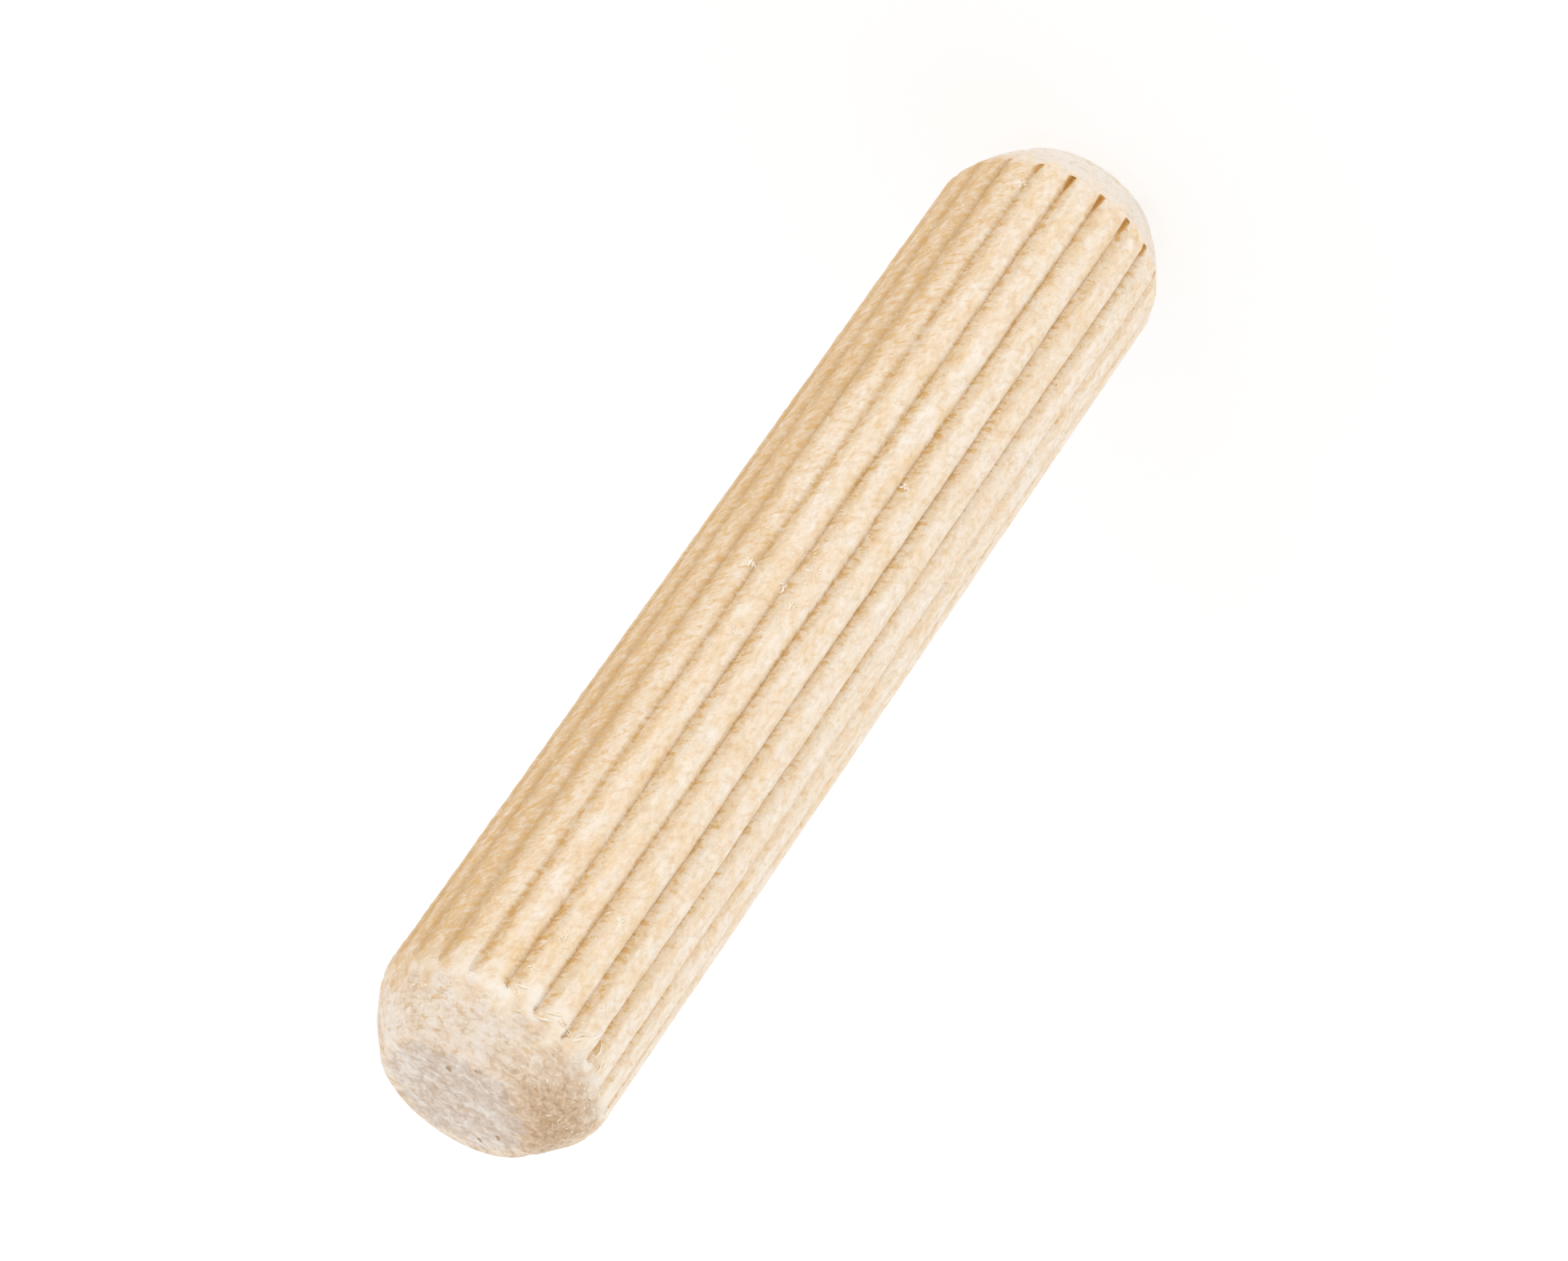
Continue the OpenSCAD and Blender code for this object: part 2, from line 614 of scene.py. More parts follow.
@dataclass(frozen=True)
class TintsAndPaintedLight:
    """Where the wood is darker, paler or more tan, as values for its material, with painted shade and
    painted light among them.
    """

    # Root lines: partly the wood's own darker line, partly painted shade in the groove's root
    root_bell: Pair = (0.12, 0.55)
    usual_root: float = 0.75
    root_changes: tuple[Noise, ...] = (Noise(31, 6.0 * MM, 0.55), Noise(32, 0.9 * MM, 0.35))
    # Painted light: the slopes and roots darken less on the side where the light falls
    lit_side_easing: Side = Side(-170.0, 38.0, 1.0, -0.55)
    usual_slope: float = 0.9
    slope_change: Noise = Noise(33, 8.0 * MM, 0.35)
    least_slope: float = 0.4
    upper_slopes: float = 0.6
    upper_slope_step: Pair = (32.0 * MM, 37.5 * MM)
    # The crests' paleness: partly the smooth lands' own tone, partly a painted highlight
    crest_rise: Pair = (0.5, 6.0)
    crest_fall: Pair = (8.0, 13.5)
    # Painted light: the crests are paler still on the side where the light falls
    lit_side_paling: Side = Side(-175.0, 45.0, change=0.9)
    upper_crests: float = -0.3
    upper_crest_step: Pair = (22.0 * MM, 38.0 * MM)
    edges: tuple[Noise, ...] = (
        Noise(43, 0.7 * MM, 0.5 * MM, cells_round=42), Noise(44, 0.25 * MM, 0.3 * MM, cells_round=110),
    )
    end_step: Pair = (1.1 * MM, 2.3 * MM)
    # The face's tint stops short of the rim, so the rim keeps the lead-in's paler colour as painted light
    # against the rim's shade
    face_step: Pair = (1.9 * MM, 2.65 * MM)
    face_edge: float = 0.6
    rim_step: Pair = (0.4 * MM, 0.9 * MM)
    # Painted shade: a tan patch on the side of the upper lead-in that faces away from the light
    end_shade_side: Side = Side(-167.0, 47.0)
    end_shade_bell: Pair = (3.0 * MM, 1.1 * MM)
    # Painted light: the lower lead-in is paler, to offset the floor's shade near it
    lower_end_light: float = -0.7
    torn_lip_loss: float = 0.45

    def fields(self, at: Places, worn: Worn) -> dict[Field, np.ndarray]:
        """Works out every field. Most run from 0 to 1, and the lower end's painted light is negative.

        Args:
            at: The vertices' places.
            worn: What wear makes of them.

        Returns:
            The values, by field.
        """
        on_shank = 1 - worn.lead_in
        edge = at.over(*self.edges)
        face = 1 - smooth_step(*self.face_step, worn.reach + self.face_edge * edge)
        # Painted shade on the side of the upper lead-in that faces away from the light
        tan = self.end_shade_side(worn.angle) * bell(worn.reach, *self.end_shade_bell)
        return {
            Field.SLOPE: self._slopes(at, worn.angle) * on_shank,
            Field.ROOT: self._roots(at, worn.angle) * on_shank,
            Field.CREST: self._crests(at, worn.angle) * on_shank,
            Field.TORN: worn.torn,
            Field.LEAD_IN: np.maximum(1 - smooth_step(*self.end_step, at.from_end + edge), at.face),
            Field.FACE: face * (1 - smooth_step(*self.rim_step, at.from_end)),
            # Painted shade in the pits
            Field.PIT_SHADE: worn.pit,
            Field.LIP: worn.lip * (1 - at.face) * (1 - self.torn_lip_loss * worn.torn),
            # Painted light on the lower lead-in, painted shade on the upper one
            Field.END_SHADE_AND_LIGHT: np.where(at.lower, self.lower_end_light, tan),
        }

    def _slopes(self, at: Places, angle: np.ndarray) -> np.ndarray:
        """How far down the walls and slopes, which carry painted shade on the walls and are a little darker
        near the upper end.

        Args:
            at: The vertices' places.
            angle: The vertices' worn angles.

        Returns:
            One value for each vertex.
        """
        change = np.clip(self.usual_slope + at.along(self.slope_change), self.least_slope, 1.0)
        upper = 1 + self.upper_slopes * smooth_step(*self.upper_slope_step, at.height)
        return np.maximum(at.down_wall, at.down_slope) * change * self.lit_side_easing(angle) * upper

    def _roots(self, at: Places, angle: np.ndarray) -> np.ndarray:
        """The lines along the roots, which fade here and there and on the lit side."""
        held = np.clip(self.usual_root + at.along(*self.root_changes), 0.0, 1.0)
        return bell(at.from_root, *self.root_bell) * held * self.lit_side_easing(angle)

    def _crests(self, at: Places, angle: np.ndarray) -> np.ndarray:
        """The lands, which are paler, partly as a painted highlight, with painted light on one side, and
        less so towards the upper end.

        Args:
            at: The vertices' places.
            angle: The vertices' worn angles.

        Returns:
            One value for each vertex.
        """
        crest = smooth_step(*self.crest_rise, at.offset) * (1 - smooth_step(*self.crest_fall, at.offset))
        upper = self.upper_crests * smooth_step(*self.upper_crest_step, at.height)
        return crest + self.lit_side_paling(angle) + upper


@dataclass
class DowelBody:
    """The dowel's one piece of wood, with its flutes and both ends.

    A flute's columns of vertices lie at angles from its root: down its wall, across its land and
    down its slope.
    """

    shape: Shape
    torn_side: TornSide = TornSide()
    flutes: Flutes = Flutes()
    groove_ends: GrooveEnds = GrooveEnds()
    lead_ins: LeadIns = LeadIns()
    relief: Relief = Relief()
    flat_ends: FlatEnds = FlatEnds()
    tints_and_painted_light: TintsAndPaintedLight = TintsAndPaintedLight()
    wall_columns_deg: tuple[float, ...] = (0.0, 0.7, 1.4)
    land_columns_deg: tuple[float, ...] = (3.5, 5.2, 7.0, 8.9)
    slope_columns_deg: tuple[float, ...] = (11.9, 13.0, 14.1, 15.15, 16.2)
    offsets_deg: tuple[float, ...] = field(init=False)
    profile: Profile = field(init=False)
    row: np.ndarray = field(init=False)
    column: np.ndarray = field(init=False)
    points: np.ndarray = field(init=False)
    fields: dict[Field, np.ndarray] = field(init=False)

    def __post_init__(self) -> None:
        """Sets out a flute's columns and the rows that the mesh is spun from."""
        self.offsets_deg = (
            *self.wall_columns_deg, self.shape.wall_deg,
            *self.land_columns_deg, self.shape.slope_from_deg, *self.slope_columns_deg,
        )
        self.profile = Profile(self.shape)

    @property
    def columns(self) -> int:
        """Columns of vertices round the dowel."""
        return self.shape.flutes * len(self.offsets_deg)

    def build(self) -> bpy.types.Object:
        """Spins the rows into a closed mesh, shapes it and adds it to the scene.

        Returns:
            Its object.
        """
        mesh = self._spun_mesh()
        self._shape_points()
        mesh.vertices.foreach_set("co", self.points.astype(np.float32).ravel())
        for name, values in self.fields.items():
            attribute = mesh.attributes.new(name.value, "FLOAT", "POINT")
            attribute.data.foreach_set("value", values.astype(np.float32))
        mesh.shade_smooth()
        mesh.update()
        return add_object("dowel_body", mesh)

    def _spun_mesh(self) -> bpy.types.Mesh:
        """Spins the profile round +Z, closes its poles and notes each vertex's row and column.

        Returns:
            The closed mesh, round and not yet shaped.
        """
        bm = bmesh.new()
        layer = bm.verts.layers.int.new("row")
        last = None
        for i, (r, z) in enumerate(zip(self.profile.radius, self.profile.height)):
            vert = bm.verts.new((r, 0.0, z))
            vert[layer] = i
            if last is not None:
                bm.edges.new((last, vert))
            last = vert
        bmesh.ops.spin(
            bm, geom=bm.verts[:] + bm.edges[:], axis=(0, 0, 1), cent=(0, 0, 0),
            steps=self.columns, angle=math.tau, use_merge=True,
        )
        bmesh.ops.remove_doubles(bm, verts=bm.verts[:], dist=TINY)
        bmesh.ops.recalc_face_normals(bm, faces=bm.faces[:])
        self.row = np.array([v[layer] for v in bm.verts])
        places = np.array([v.co for v in bm.verts])
        turn = np.arctan2(places[:, 1], places[:, 0]) / math.tau
        self.column = np.round(turn * self.columns).astype(int) % self.columns
        bm.verts.layers.int.remove(layer)
        mesh = bpy.data.meshes.new("dowel_body")
        bm.to_mesh(mesh)
        bm.free()
        return mesh

    def _places(self) -> Places:
        """Reads each vertex's place from its row and column.

        Returns:
            The places, in the order of the mesh's vertices.
        """
        per_flute, profile = len(self.offsets_deg), self.profile
        return Places(
            shape=self.shape,
            flute=self.column // per_flute,
            offset=np.array(self.offsets_deg)[self.column % per_flute],
            height=profile.height[self.row],
            radius=profile.radius[self.row],
            face=profile.on_face[self.row],
        )

    def _shape_points(self) -> None:
        """Moves each vertex to its place on the worn, fluted surface and fills the fields."""
        at, ends, cut = self._places(), self.groove_ends, self.lead_ins
        ragged = at.along(*self.flutes.ragged)
        angle = self.flutes.angles(at, ragged)
        torn = self.torn_side.share(at, angle)
        pit, lip, filled = ends.pits(at, angle), ends.lips(at, angle), ends.filled(at, ragged)
        pit = pit * (1 - filled)
        section = self.flutes.radii(at, torn)
        section = section + (self.shape.radius + ends.cover - section) * filled - ends.pit_depth * pit
        envelope = cut.envelope(at, angle)
        lead_in = cut.share(at, section - envelope, ragged)
        reach = soft_min(section, envelope, cut.edge_round)
        reach = np.where(at.from_end < self.profile.rim - TINY, at.radius, reach)
        reach = reach + self.relief.rise(at, torn, lead_in)
        reach = reach + ends.lip_height * lip * (1 - cut.lip_loss * lead_in)
        x, y = reach * np.cos(np.radians(angle)), reach * np.sin(np.radians(angle))
        self.points = np.stack([x, y, at.height + self.flat_ends.dents(at, x, y)], axis=1)
        # Pale lips and land ends: partly the frayed wood's own paleness, partly a painted highlight
        pale = np.clip(np.maximum(ends.pale_and_lit_lip * lip, ends.land_ends(at)), 0.0, 1.0)
        self.fields = self.tints_and_painted_light.fields(at, Worn(angle, reach, torn, lead_in, pit, pale))

    def surface(self) -> Surface:
        """The shaped side as a grid of points, on which fibres are laid.

        Returns:
            The grid, with its rows' heights.
        """
        side = np.flatnonzero(self.profile.on_face == 0.0)
        grid = np.zeros((len(self.profile.height), self.columns, 3))
        grid[self.row, self.column] = self.points
        return Surface(self.shape, self.offsets_deg, self.profile.height[side], grid[side])


@dataclass
class Surface:
    """The dowel's shaped side, found by nominal angle and height."""

    shape: Shape
    offsets_deg: tuple[float, ...]
    heights: np.ndarray
    grid: np.ndarray

    def at(self, angle: np.ndarray, height: np.ndarray) -> np.ndarray:
        """Finds points of the side.

        Args:
            angle: Nominal angles round the axis, in degrees.
            height: Heights above the floor.

        Returns:
            An array of points with one more axis than the angles, in metres.
        """
        s = self.shape
        flute = ((angle - s.front_deg) / s.pitch_deg) % s.flutes
        whole = np.floor(flute)
        offset = (flute - whole) * s.pitch_deg
        steps = np.arange(len(self.offsets_deg) + 1)
        column = whole * len(self.offsets_deg) + np.interp(offset, (*self.offsets_deg, s.pitch_deg), steps)
        row = np.interp(height, self.heights, np.arange(len(self.heights)))
        i = np.minimum(row.astype(int), len(self.heights) - 2)
        j = column.astype(int)
        fi, fj = (row - i)[..., None], (column - j)[..., None]
        columns = self.grid.shape[1]
        j0, j1 = j % columns, (j + 1) % columns
        low = self.grid[i, j0] * (1 - fj) + self.grid[i, j1] * fj
        high = self.grid[i + 1, j0] * (1 - fj) + self.grid[i + 1, j1] * fj
        return low * (1 - fi) + high * fi


@dataclass
class Paths:
    """Where fibres start and where they head.

    A start is a nominal angle in degrees and a height. A heading is in radians, from the way round
    the dowel towards +Z.
    """

    across: np.ndarray
    up: np.ndarray
    heading: np.ndarray


@dataclass(frozen=True)
class Fibres:
    """One kind of loose fibre, as thin tapered tubes along the wood or standing off it.

    The length, width and lift are in metres and the bend in radians. They are drawn from the first
    seed, and the paths from the next one.
    """

    name: str
    seed: int
    length: Pair
    width: Pair
    lift: Pair
    bend: float
    standing: float = 0.0
    sides: int = 4
    segments: int = 4
    flatness: float = 0.4
    sunk: float = 0.3
    least_bend: float = 1e-3
    step_ahead: float = 0.02
    tip_width: float = 0.2
    taper_from: float = 0.08
    taper_span: float = 0.87
    end_tilt: float = 0.8

    def paths(self, shape: Shape, rng: np.random.Generator) -> Paths:
        """Chooses where the fibres start and where they head.

        Args:
            shape: The dowel's sizes.
            rng: Gives the random numbers.

        Returns:
            The paths.
        """
        raise NotImplementedError

    def build(self, surface: Surface) -> bpy.types.Object:
        """Makes one tube for each path.

        Args:
            surface: The side that the fibres lie on.

        Returns:
            One object that holds them all.
        """
        paths = self.paths(surface.shape, np.random.default_rng(self.seed + 1))
        rng = np.random.default_rng(self.seed)
        count = len(paths.across)
        mesh = self._tubes(count)
        place = np.empty(len(mesh.vertices) * 3)
        mesh.vertices.foreach_get("co", place)
        place = place.reshape(count, -1, 3)
        u = place[:, :, 2]
        ranges = (self.length, self.width, self.lift)
        length, width, lift = (rng.uniform(low, high, (count, 1)) for low, high in ranges)
        bend = rng.uniform(-self.bend, self.bend, (count, 1))
        round_by = np.where(np.abs(bend) < self.least_bend, self.least_bend, bend)
        heading = paths.heading[:, None]

        def centre(t: np.ndarray) -> tuple[np.ndarray, np.ndarray]:
            """Points along the fibres, and the directions out of the wood there.

            Args:
                t: Shares of the fibres' length.

            Returns:
                The points and the directions.
            """
            turned = heading + bend * t
            across = length * ((np.sin(turned) - np.sin(heading)) / round_by)
            up = length * ((np.cos(heading) - np.cos(turned)) / round_by)
            rise = lift * (np.sin(math.pi * np.clip(t, 0, 1)) + self.standing * t**2)
            return self._lay(surface, paths, across, up, rise - self.sunk * width)

        here, out = centre(u)
        ahead, _ = centre(u + self.step_ahead)
        along = unit(ahead - here)
        side = unit(np.cross(along, out))
        swell = np.sin(math.pi * (self.taper_from + self.taper_span * u))
        taper = self.tip_width + (1 - self.tip_width) * np.sqrt(np.clip(swell, 0, 1))
        taper = width * 0.5 * taper
        points = here + (place[:, :, 0] * taper)[..., None] * side
        points = points + (place[:, :, 1] * taper * self.flatness)[..., None] * np.cross(side, along)
        mesh.vertices.foreach_set("co", points.astype(np.float32).ravel())
        mesh.shade_smooth()
        mesh.update()
        return add_object(self.name, mesh)

    def _lay(
        self, surface: Surface, paths: Paths, across: np.ndarray, up: np.ndarray, rise: np.ndarray,
    ) -> tuple[np.ndarray, np.ndarray]:
        """Puts points on the wood, or off it.

        Args:
            surface: The side that the fibres lie on.
            paths: The fibres' starts.
            across: Lengths round the dowel from a start.
            up: Lengths along the dowel from a start.
            rise: Heights off the wood.

        Returns:
            The points, and the directions out of the wood there.
        """
        s = surface.shape
        height = paths.up[:, None] + up
        point = surface.at(paths.across[:, None] + np.degrees(across / s.radius), height)
        from_middle = height - s.middle
        past = smooth_step(s.middle - s.lead_in, s.middle, np.abs(from_middle))
        tilt = (self.end_tilt * past * np.sign(from_middle))[..., None] * np.array((0.0, 0.0, 1.0))
        out = unit(unit(point * (1, 1, 0)) + tilt)
        return point + out * rise[..., None], out

    def _tubes(self, count: int) -> bpy.types.Mesh:
        """Makes straight tubes of unit length on one spot, one for each fibre.

        Args:
            count: The number of fibres.

        Returns:
            One mesh, with the tubes' vertices one tube after another.
        """
        bm = bmesh.new()
        bmesh.ops.create_cone(
            bm, cap_ends=True, cap_tris=False, segments=self.sides, radius1=1.0, radius2=1.0, depth=1.0,
        )
        bmesh.ops.translate(bm, verts=bm.verts[:], vec=(0, 0, 0.5))
        upright = [e for e in bm.edges if abs(e.verts[0].co.z - e.verts[1].co.z) > 0.5]
        bmesh.ops.subdivide_edges(bm, edges=upright, cuts=self.segments - 1, use_grid_fill=True)
        bmesh.ops.spin(
            bm, geom=bm.verts[:] + bm.edges[:] + bm.faces[:], axis=(0, 0, 1), cent=(0, 0, 0),
            steps=count - 1, angle=0.0, use_duplicate=True,
        )
        bmesh.ops.recalc_face_normals(bm, faces=bm.faces[:])
        mesh = bpy.data.meshes.new(self.name)
        bm.to_mesh(mesh)
        bm.free()
        return mesh


@dataclass(frozen=True)
class SlopeHairs(Fibres):
    """Short hairs torn across the long slopes, few of them on the torn side."""

    name: str = "slope_hairs"
    seed: int = 51
    length: Pair = (0.12 * MM, 0.3 * MM)
    width: Pair = (0.05 * MM, 0.1 * MM)
    lift: Pair = (0.005 * MM, 0.016 * MM)
    bend: float = 0.7
    count: int = 900
    before_root_deg: float = 0.6
    from_end: float = 2.5 * MM
    slant_spread_deg: float = 16.0
    torn: Side = TornSide.side

    def paths(self, shape: Shape, rng: np.random.Generator) -> Paths:
        """Spreads the hairs over the slopes of all flutes, in the direction of the torn strokes.

        Args:
            shape: The dowel's sizes.
            rng: Gives the random numbers.

        Returns:
            The paths.
        """
        s, count = shape, self.count
        top, foot = s.slope_from_deg - self.before_root_deg, s.pitch_deg - self.before_root_deg
        offset = rng.uniform(top, foot, count)
        across = s.front_deg + rng.integers(0, s.flutes, count) * s.pitch_deg + offset
        up = rng.uniform(self.from_end, s.length - self.from_end, count)
        heading = np.radians(STROKE_DEG + rng.normal(0.0, self.slant_spread_deg, count)) + math.pi
        from_torn = np.abs(degrees_apart(across, self.torn.middle_deg))
        kept = from_torn > rng.uniform(0.0, self.torn.half_width_deg, count)
        return Paths(across[kept], up[kept], heading[kept])


@dataclass(frozen=True)
class EndHairs(Fibres):
    """Fuzz on the two lead-ins, which mostly runs round them."""

    name: str = "end_hairs"
    seed: int = 53
    length: Pair = (0.18 * MM, 0.4 * MM)
    width: Pair = (0.06 * MM, 0.12 * MM)
    lift: Pair = (0.006 * MM, 0.02 * MM)
    bend: float = 1.4
    upper: int = 300
    upper_from_end: Pair = (0.5 * MM, 2.2 * MM)
    lower: int = 70
    lower_from_end: Pair = (0.7 * MM, 1.7 * MM)
    slant_spread_deg: float = 38.0

    def paths(self, shape: Shape, rng: np.random.Generator) -> Paths:
        """Spreads the hairs round both lead-ins.

        Args:
            shape: The dowel's sizes.
            rng: Gives the random numbers.

        Returns:
            The paths.
        """
        count = self.upper + self.lower
        upper_from_end = rng.uniform(*self.upper_from_end, self.upper)
        lower_from_end = rng.uniform(*self.lower_from_end, self.lower)
        across = rng.uniform(0.0, 360.0, count)
        up = np.concatenate([shape.length - upper_from_end, lower_from_end])
        heading = np.radians(rng.normal(0.0, self.slant_spread_deg, count))
        return Paths(across, up, heading + math.pi * rng.integers(0, 2, count))


@dataclass(frozen=True)
class Fringe(Fibres):
    """Frayed fibres round the flutes' upper ends."""

    name: str = "fringe"
    seed: int = 57
    length: Pair = (0.25 * MM, 0.5 * MM)
    width: Pair = (0.09 * MM, 0.17 * MM)
    lift: Pair = (0.005 * MM, 0.02 * MM)
    bend: float = 1.4
    standing: float = 0.4
    segments: int = 6
    each: int = 3
    from_root_deg: Pair = (-5.5, 3.0)
    from_end: float = 1.95 * MM
    up_spread: float = 0.2 * MM
    heading_deg: float = 195.0
    heading_spread_deg: float = 35.0

    def paths(self, shape: Shape, rng: np.random.Generator) -> Paths:
        """Puts a few fibres round the upper end of each flute.

        Args:
            shape: The dowel's sizes.
            rng: Gives the random numbers.

        Returns:
            The paths.
        """
        s, count = shape, shape.flutes * self.each
        flute = np.repeat(np.arange(s.flutes), self.each)
        across = s.front_deg + flute * s.pitch_deg + rng.uniform(*self.from_root_deg, count)
        up = s.length - self.from_end + rng.normal(0.0, self.up_spread, count)
        heading = np.radians(self.heading_deg + rng.normal(0.0, self.heading_spread_deg, count))
        return Paths(across, up, heading)


@dataclass(frozen=True)
class Frays(Fibres):
    """Long strands torn loose from the lands' upper ends on one side, in pairs.

    Each start is an angle in degrees, a height in millimetres and a heading in degrees.
    """

    name: str = "frays"
    seed: int = 61
    length: Pair = (0.4 * MM, 0.8 * MM)
    width: Pair = (0.08 * MM, 0.13 * MM)
    lift: Pair = (0.03 * MM, 0.05 * MM)
    bend: float = 0.9
    standing: float = 0.2
    segments: int = 8
    starts: tuple[tuple[float, float, float], ...] = (
        (-134.1, 37.6, -113.0), (-149.3, 38.2, -92.0), (-115.8, 37.8, 164.0), (-107.5, 37.9, 187.0),
        (-91.5, 37.7, 173.0), (-127.5, 38.0, -133.0), (-143.0, 37.7, -100.0),
    )
    each: int = 2
    across_spread_deg: float = 1.0
    up_spread: float = 0.1 * MM
    heading_spread_deg: float = 8.0

    def paths(self, shape: Shape, rng: np.random.Generator) -> Paths:
        """Puts a pair of strands at each start.

        Args:
            shape: The dowel's sizes, which are not used.
            rng: Gives the random numbers.

        Returns:
            The paths.
        """
        across, up, heading = np.repeat(self.starts, self.each, axis=0).T
        across = across + rng.normal(0.0, self.across_spread_deg, len(across))
        up = up * MM + rng.normal(0.0, self.up_spread, len(up))
        heading = heading + rng.normal(0.0, self.heading_spread_deg, len(heading))
        return Paths(across, up, np.radians(heading))


@dataclass(frozen=True)
class Curls(Fibres):
    """Small tangled burrs that stand off the crests, each of a few curled strokes.

    The first ones have chosen places, each an angle in degrees and a height in millimetres.
    """

    name: str = "curls"
    seed: int = 59
    length: Pair = (0.12 * MM, 0.30 * MM)
    width: Pair = (0.08 * MM, 0.13 * MM)
    lift: Pair = (0.02 * MM, 0.05 * MM)
    bend: float = 1.6
    segments: int = 7
    count: int = 11
    strokes: int = 7
    chosen: tuple[Pair, ...] = ((-84.0, 23.4), (-70.5, 20.7), (-109.5, 15.5), (-89.0, 21.0))
    from_root_deg: Pair = (1.0, 14.0)
    from_end: float = 3.0 * MM
    across_spread_deg: float = 0.5
    up_spread: float = 0.03 * MM

    def paths(self, shape: Shape, rng: np.random.Generator) -> Paths:
        """Puts each burr's strokes close to one place, and heads them every way.

        Args:
            shape: The dowel's sizes.
            rng: Gives the random numbers.

        Returns:
            The paths.
        """
        s, total = shape, self.count * self.strokes
        flute = rng.integers(0, s.flutes, self.count)
        across = s.front_deg + flute * s.pitch_deg + rng.uniform(*self.from_root_deg, self.count)
        up = rng.uniform(self.from_end, s.length - self.from_end, self.count)
        for burr, (angle, height) in enumerate(self.chosen):
            across[burr], up[burr] = angle, height * MM
        across = np.repeat(across, self.strokes) + rng.normal(0.0, self.across_spread_deg, total)
        up = np.repeat(up, self.strokes) + rng.normal(0.0, self.up_spread, total)
        return Paths(across, up, rng.uniform(0.0, math.tau, total))


def unit(vectors: np.ndarray) -> np.ndarray:
    """Gives vectors on the last axis a length of one."""
    return vectors / np.linalg.norm(vectors, axis=-1, keepdims=True)


def add_object(name: str, mesh: bpy.types.Mesh) -> bpy.types.Object:
    """Adds a mesh to the scene as one piece and reports it.

    Args:
        name: The piece's name.
        mesh: Its mesh.

    Returns:
        Its object.
    """
    piece = bpy.data.objects.new(name, mesh)
    bpy.context.scene.collection.objects.link(piece)
    LOG.info("%s: %d vertices, %d faces", name, len(mesh.vertices), len(mesh.polygons))
    return piece


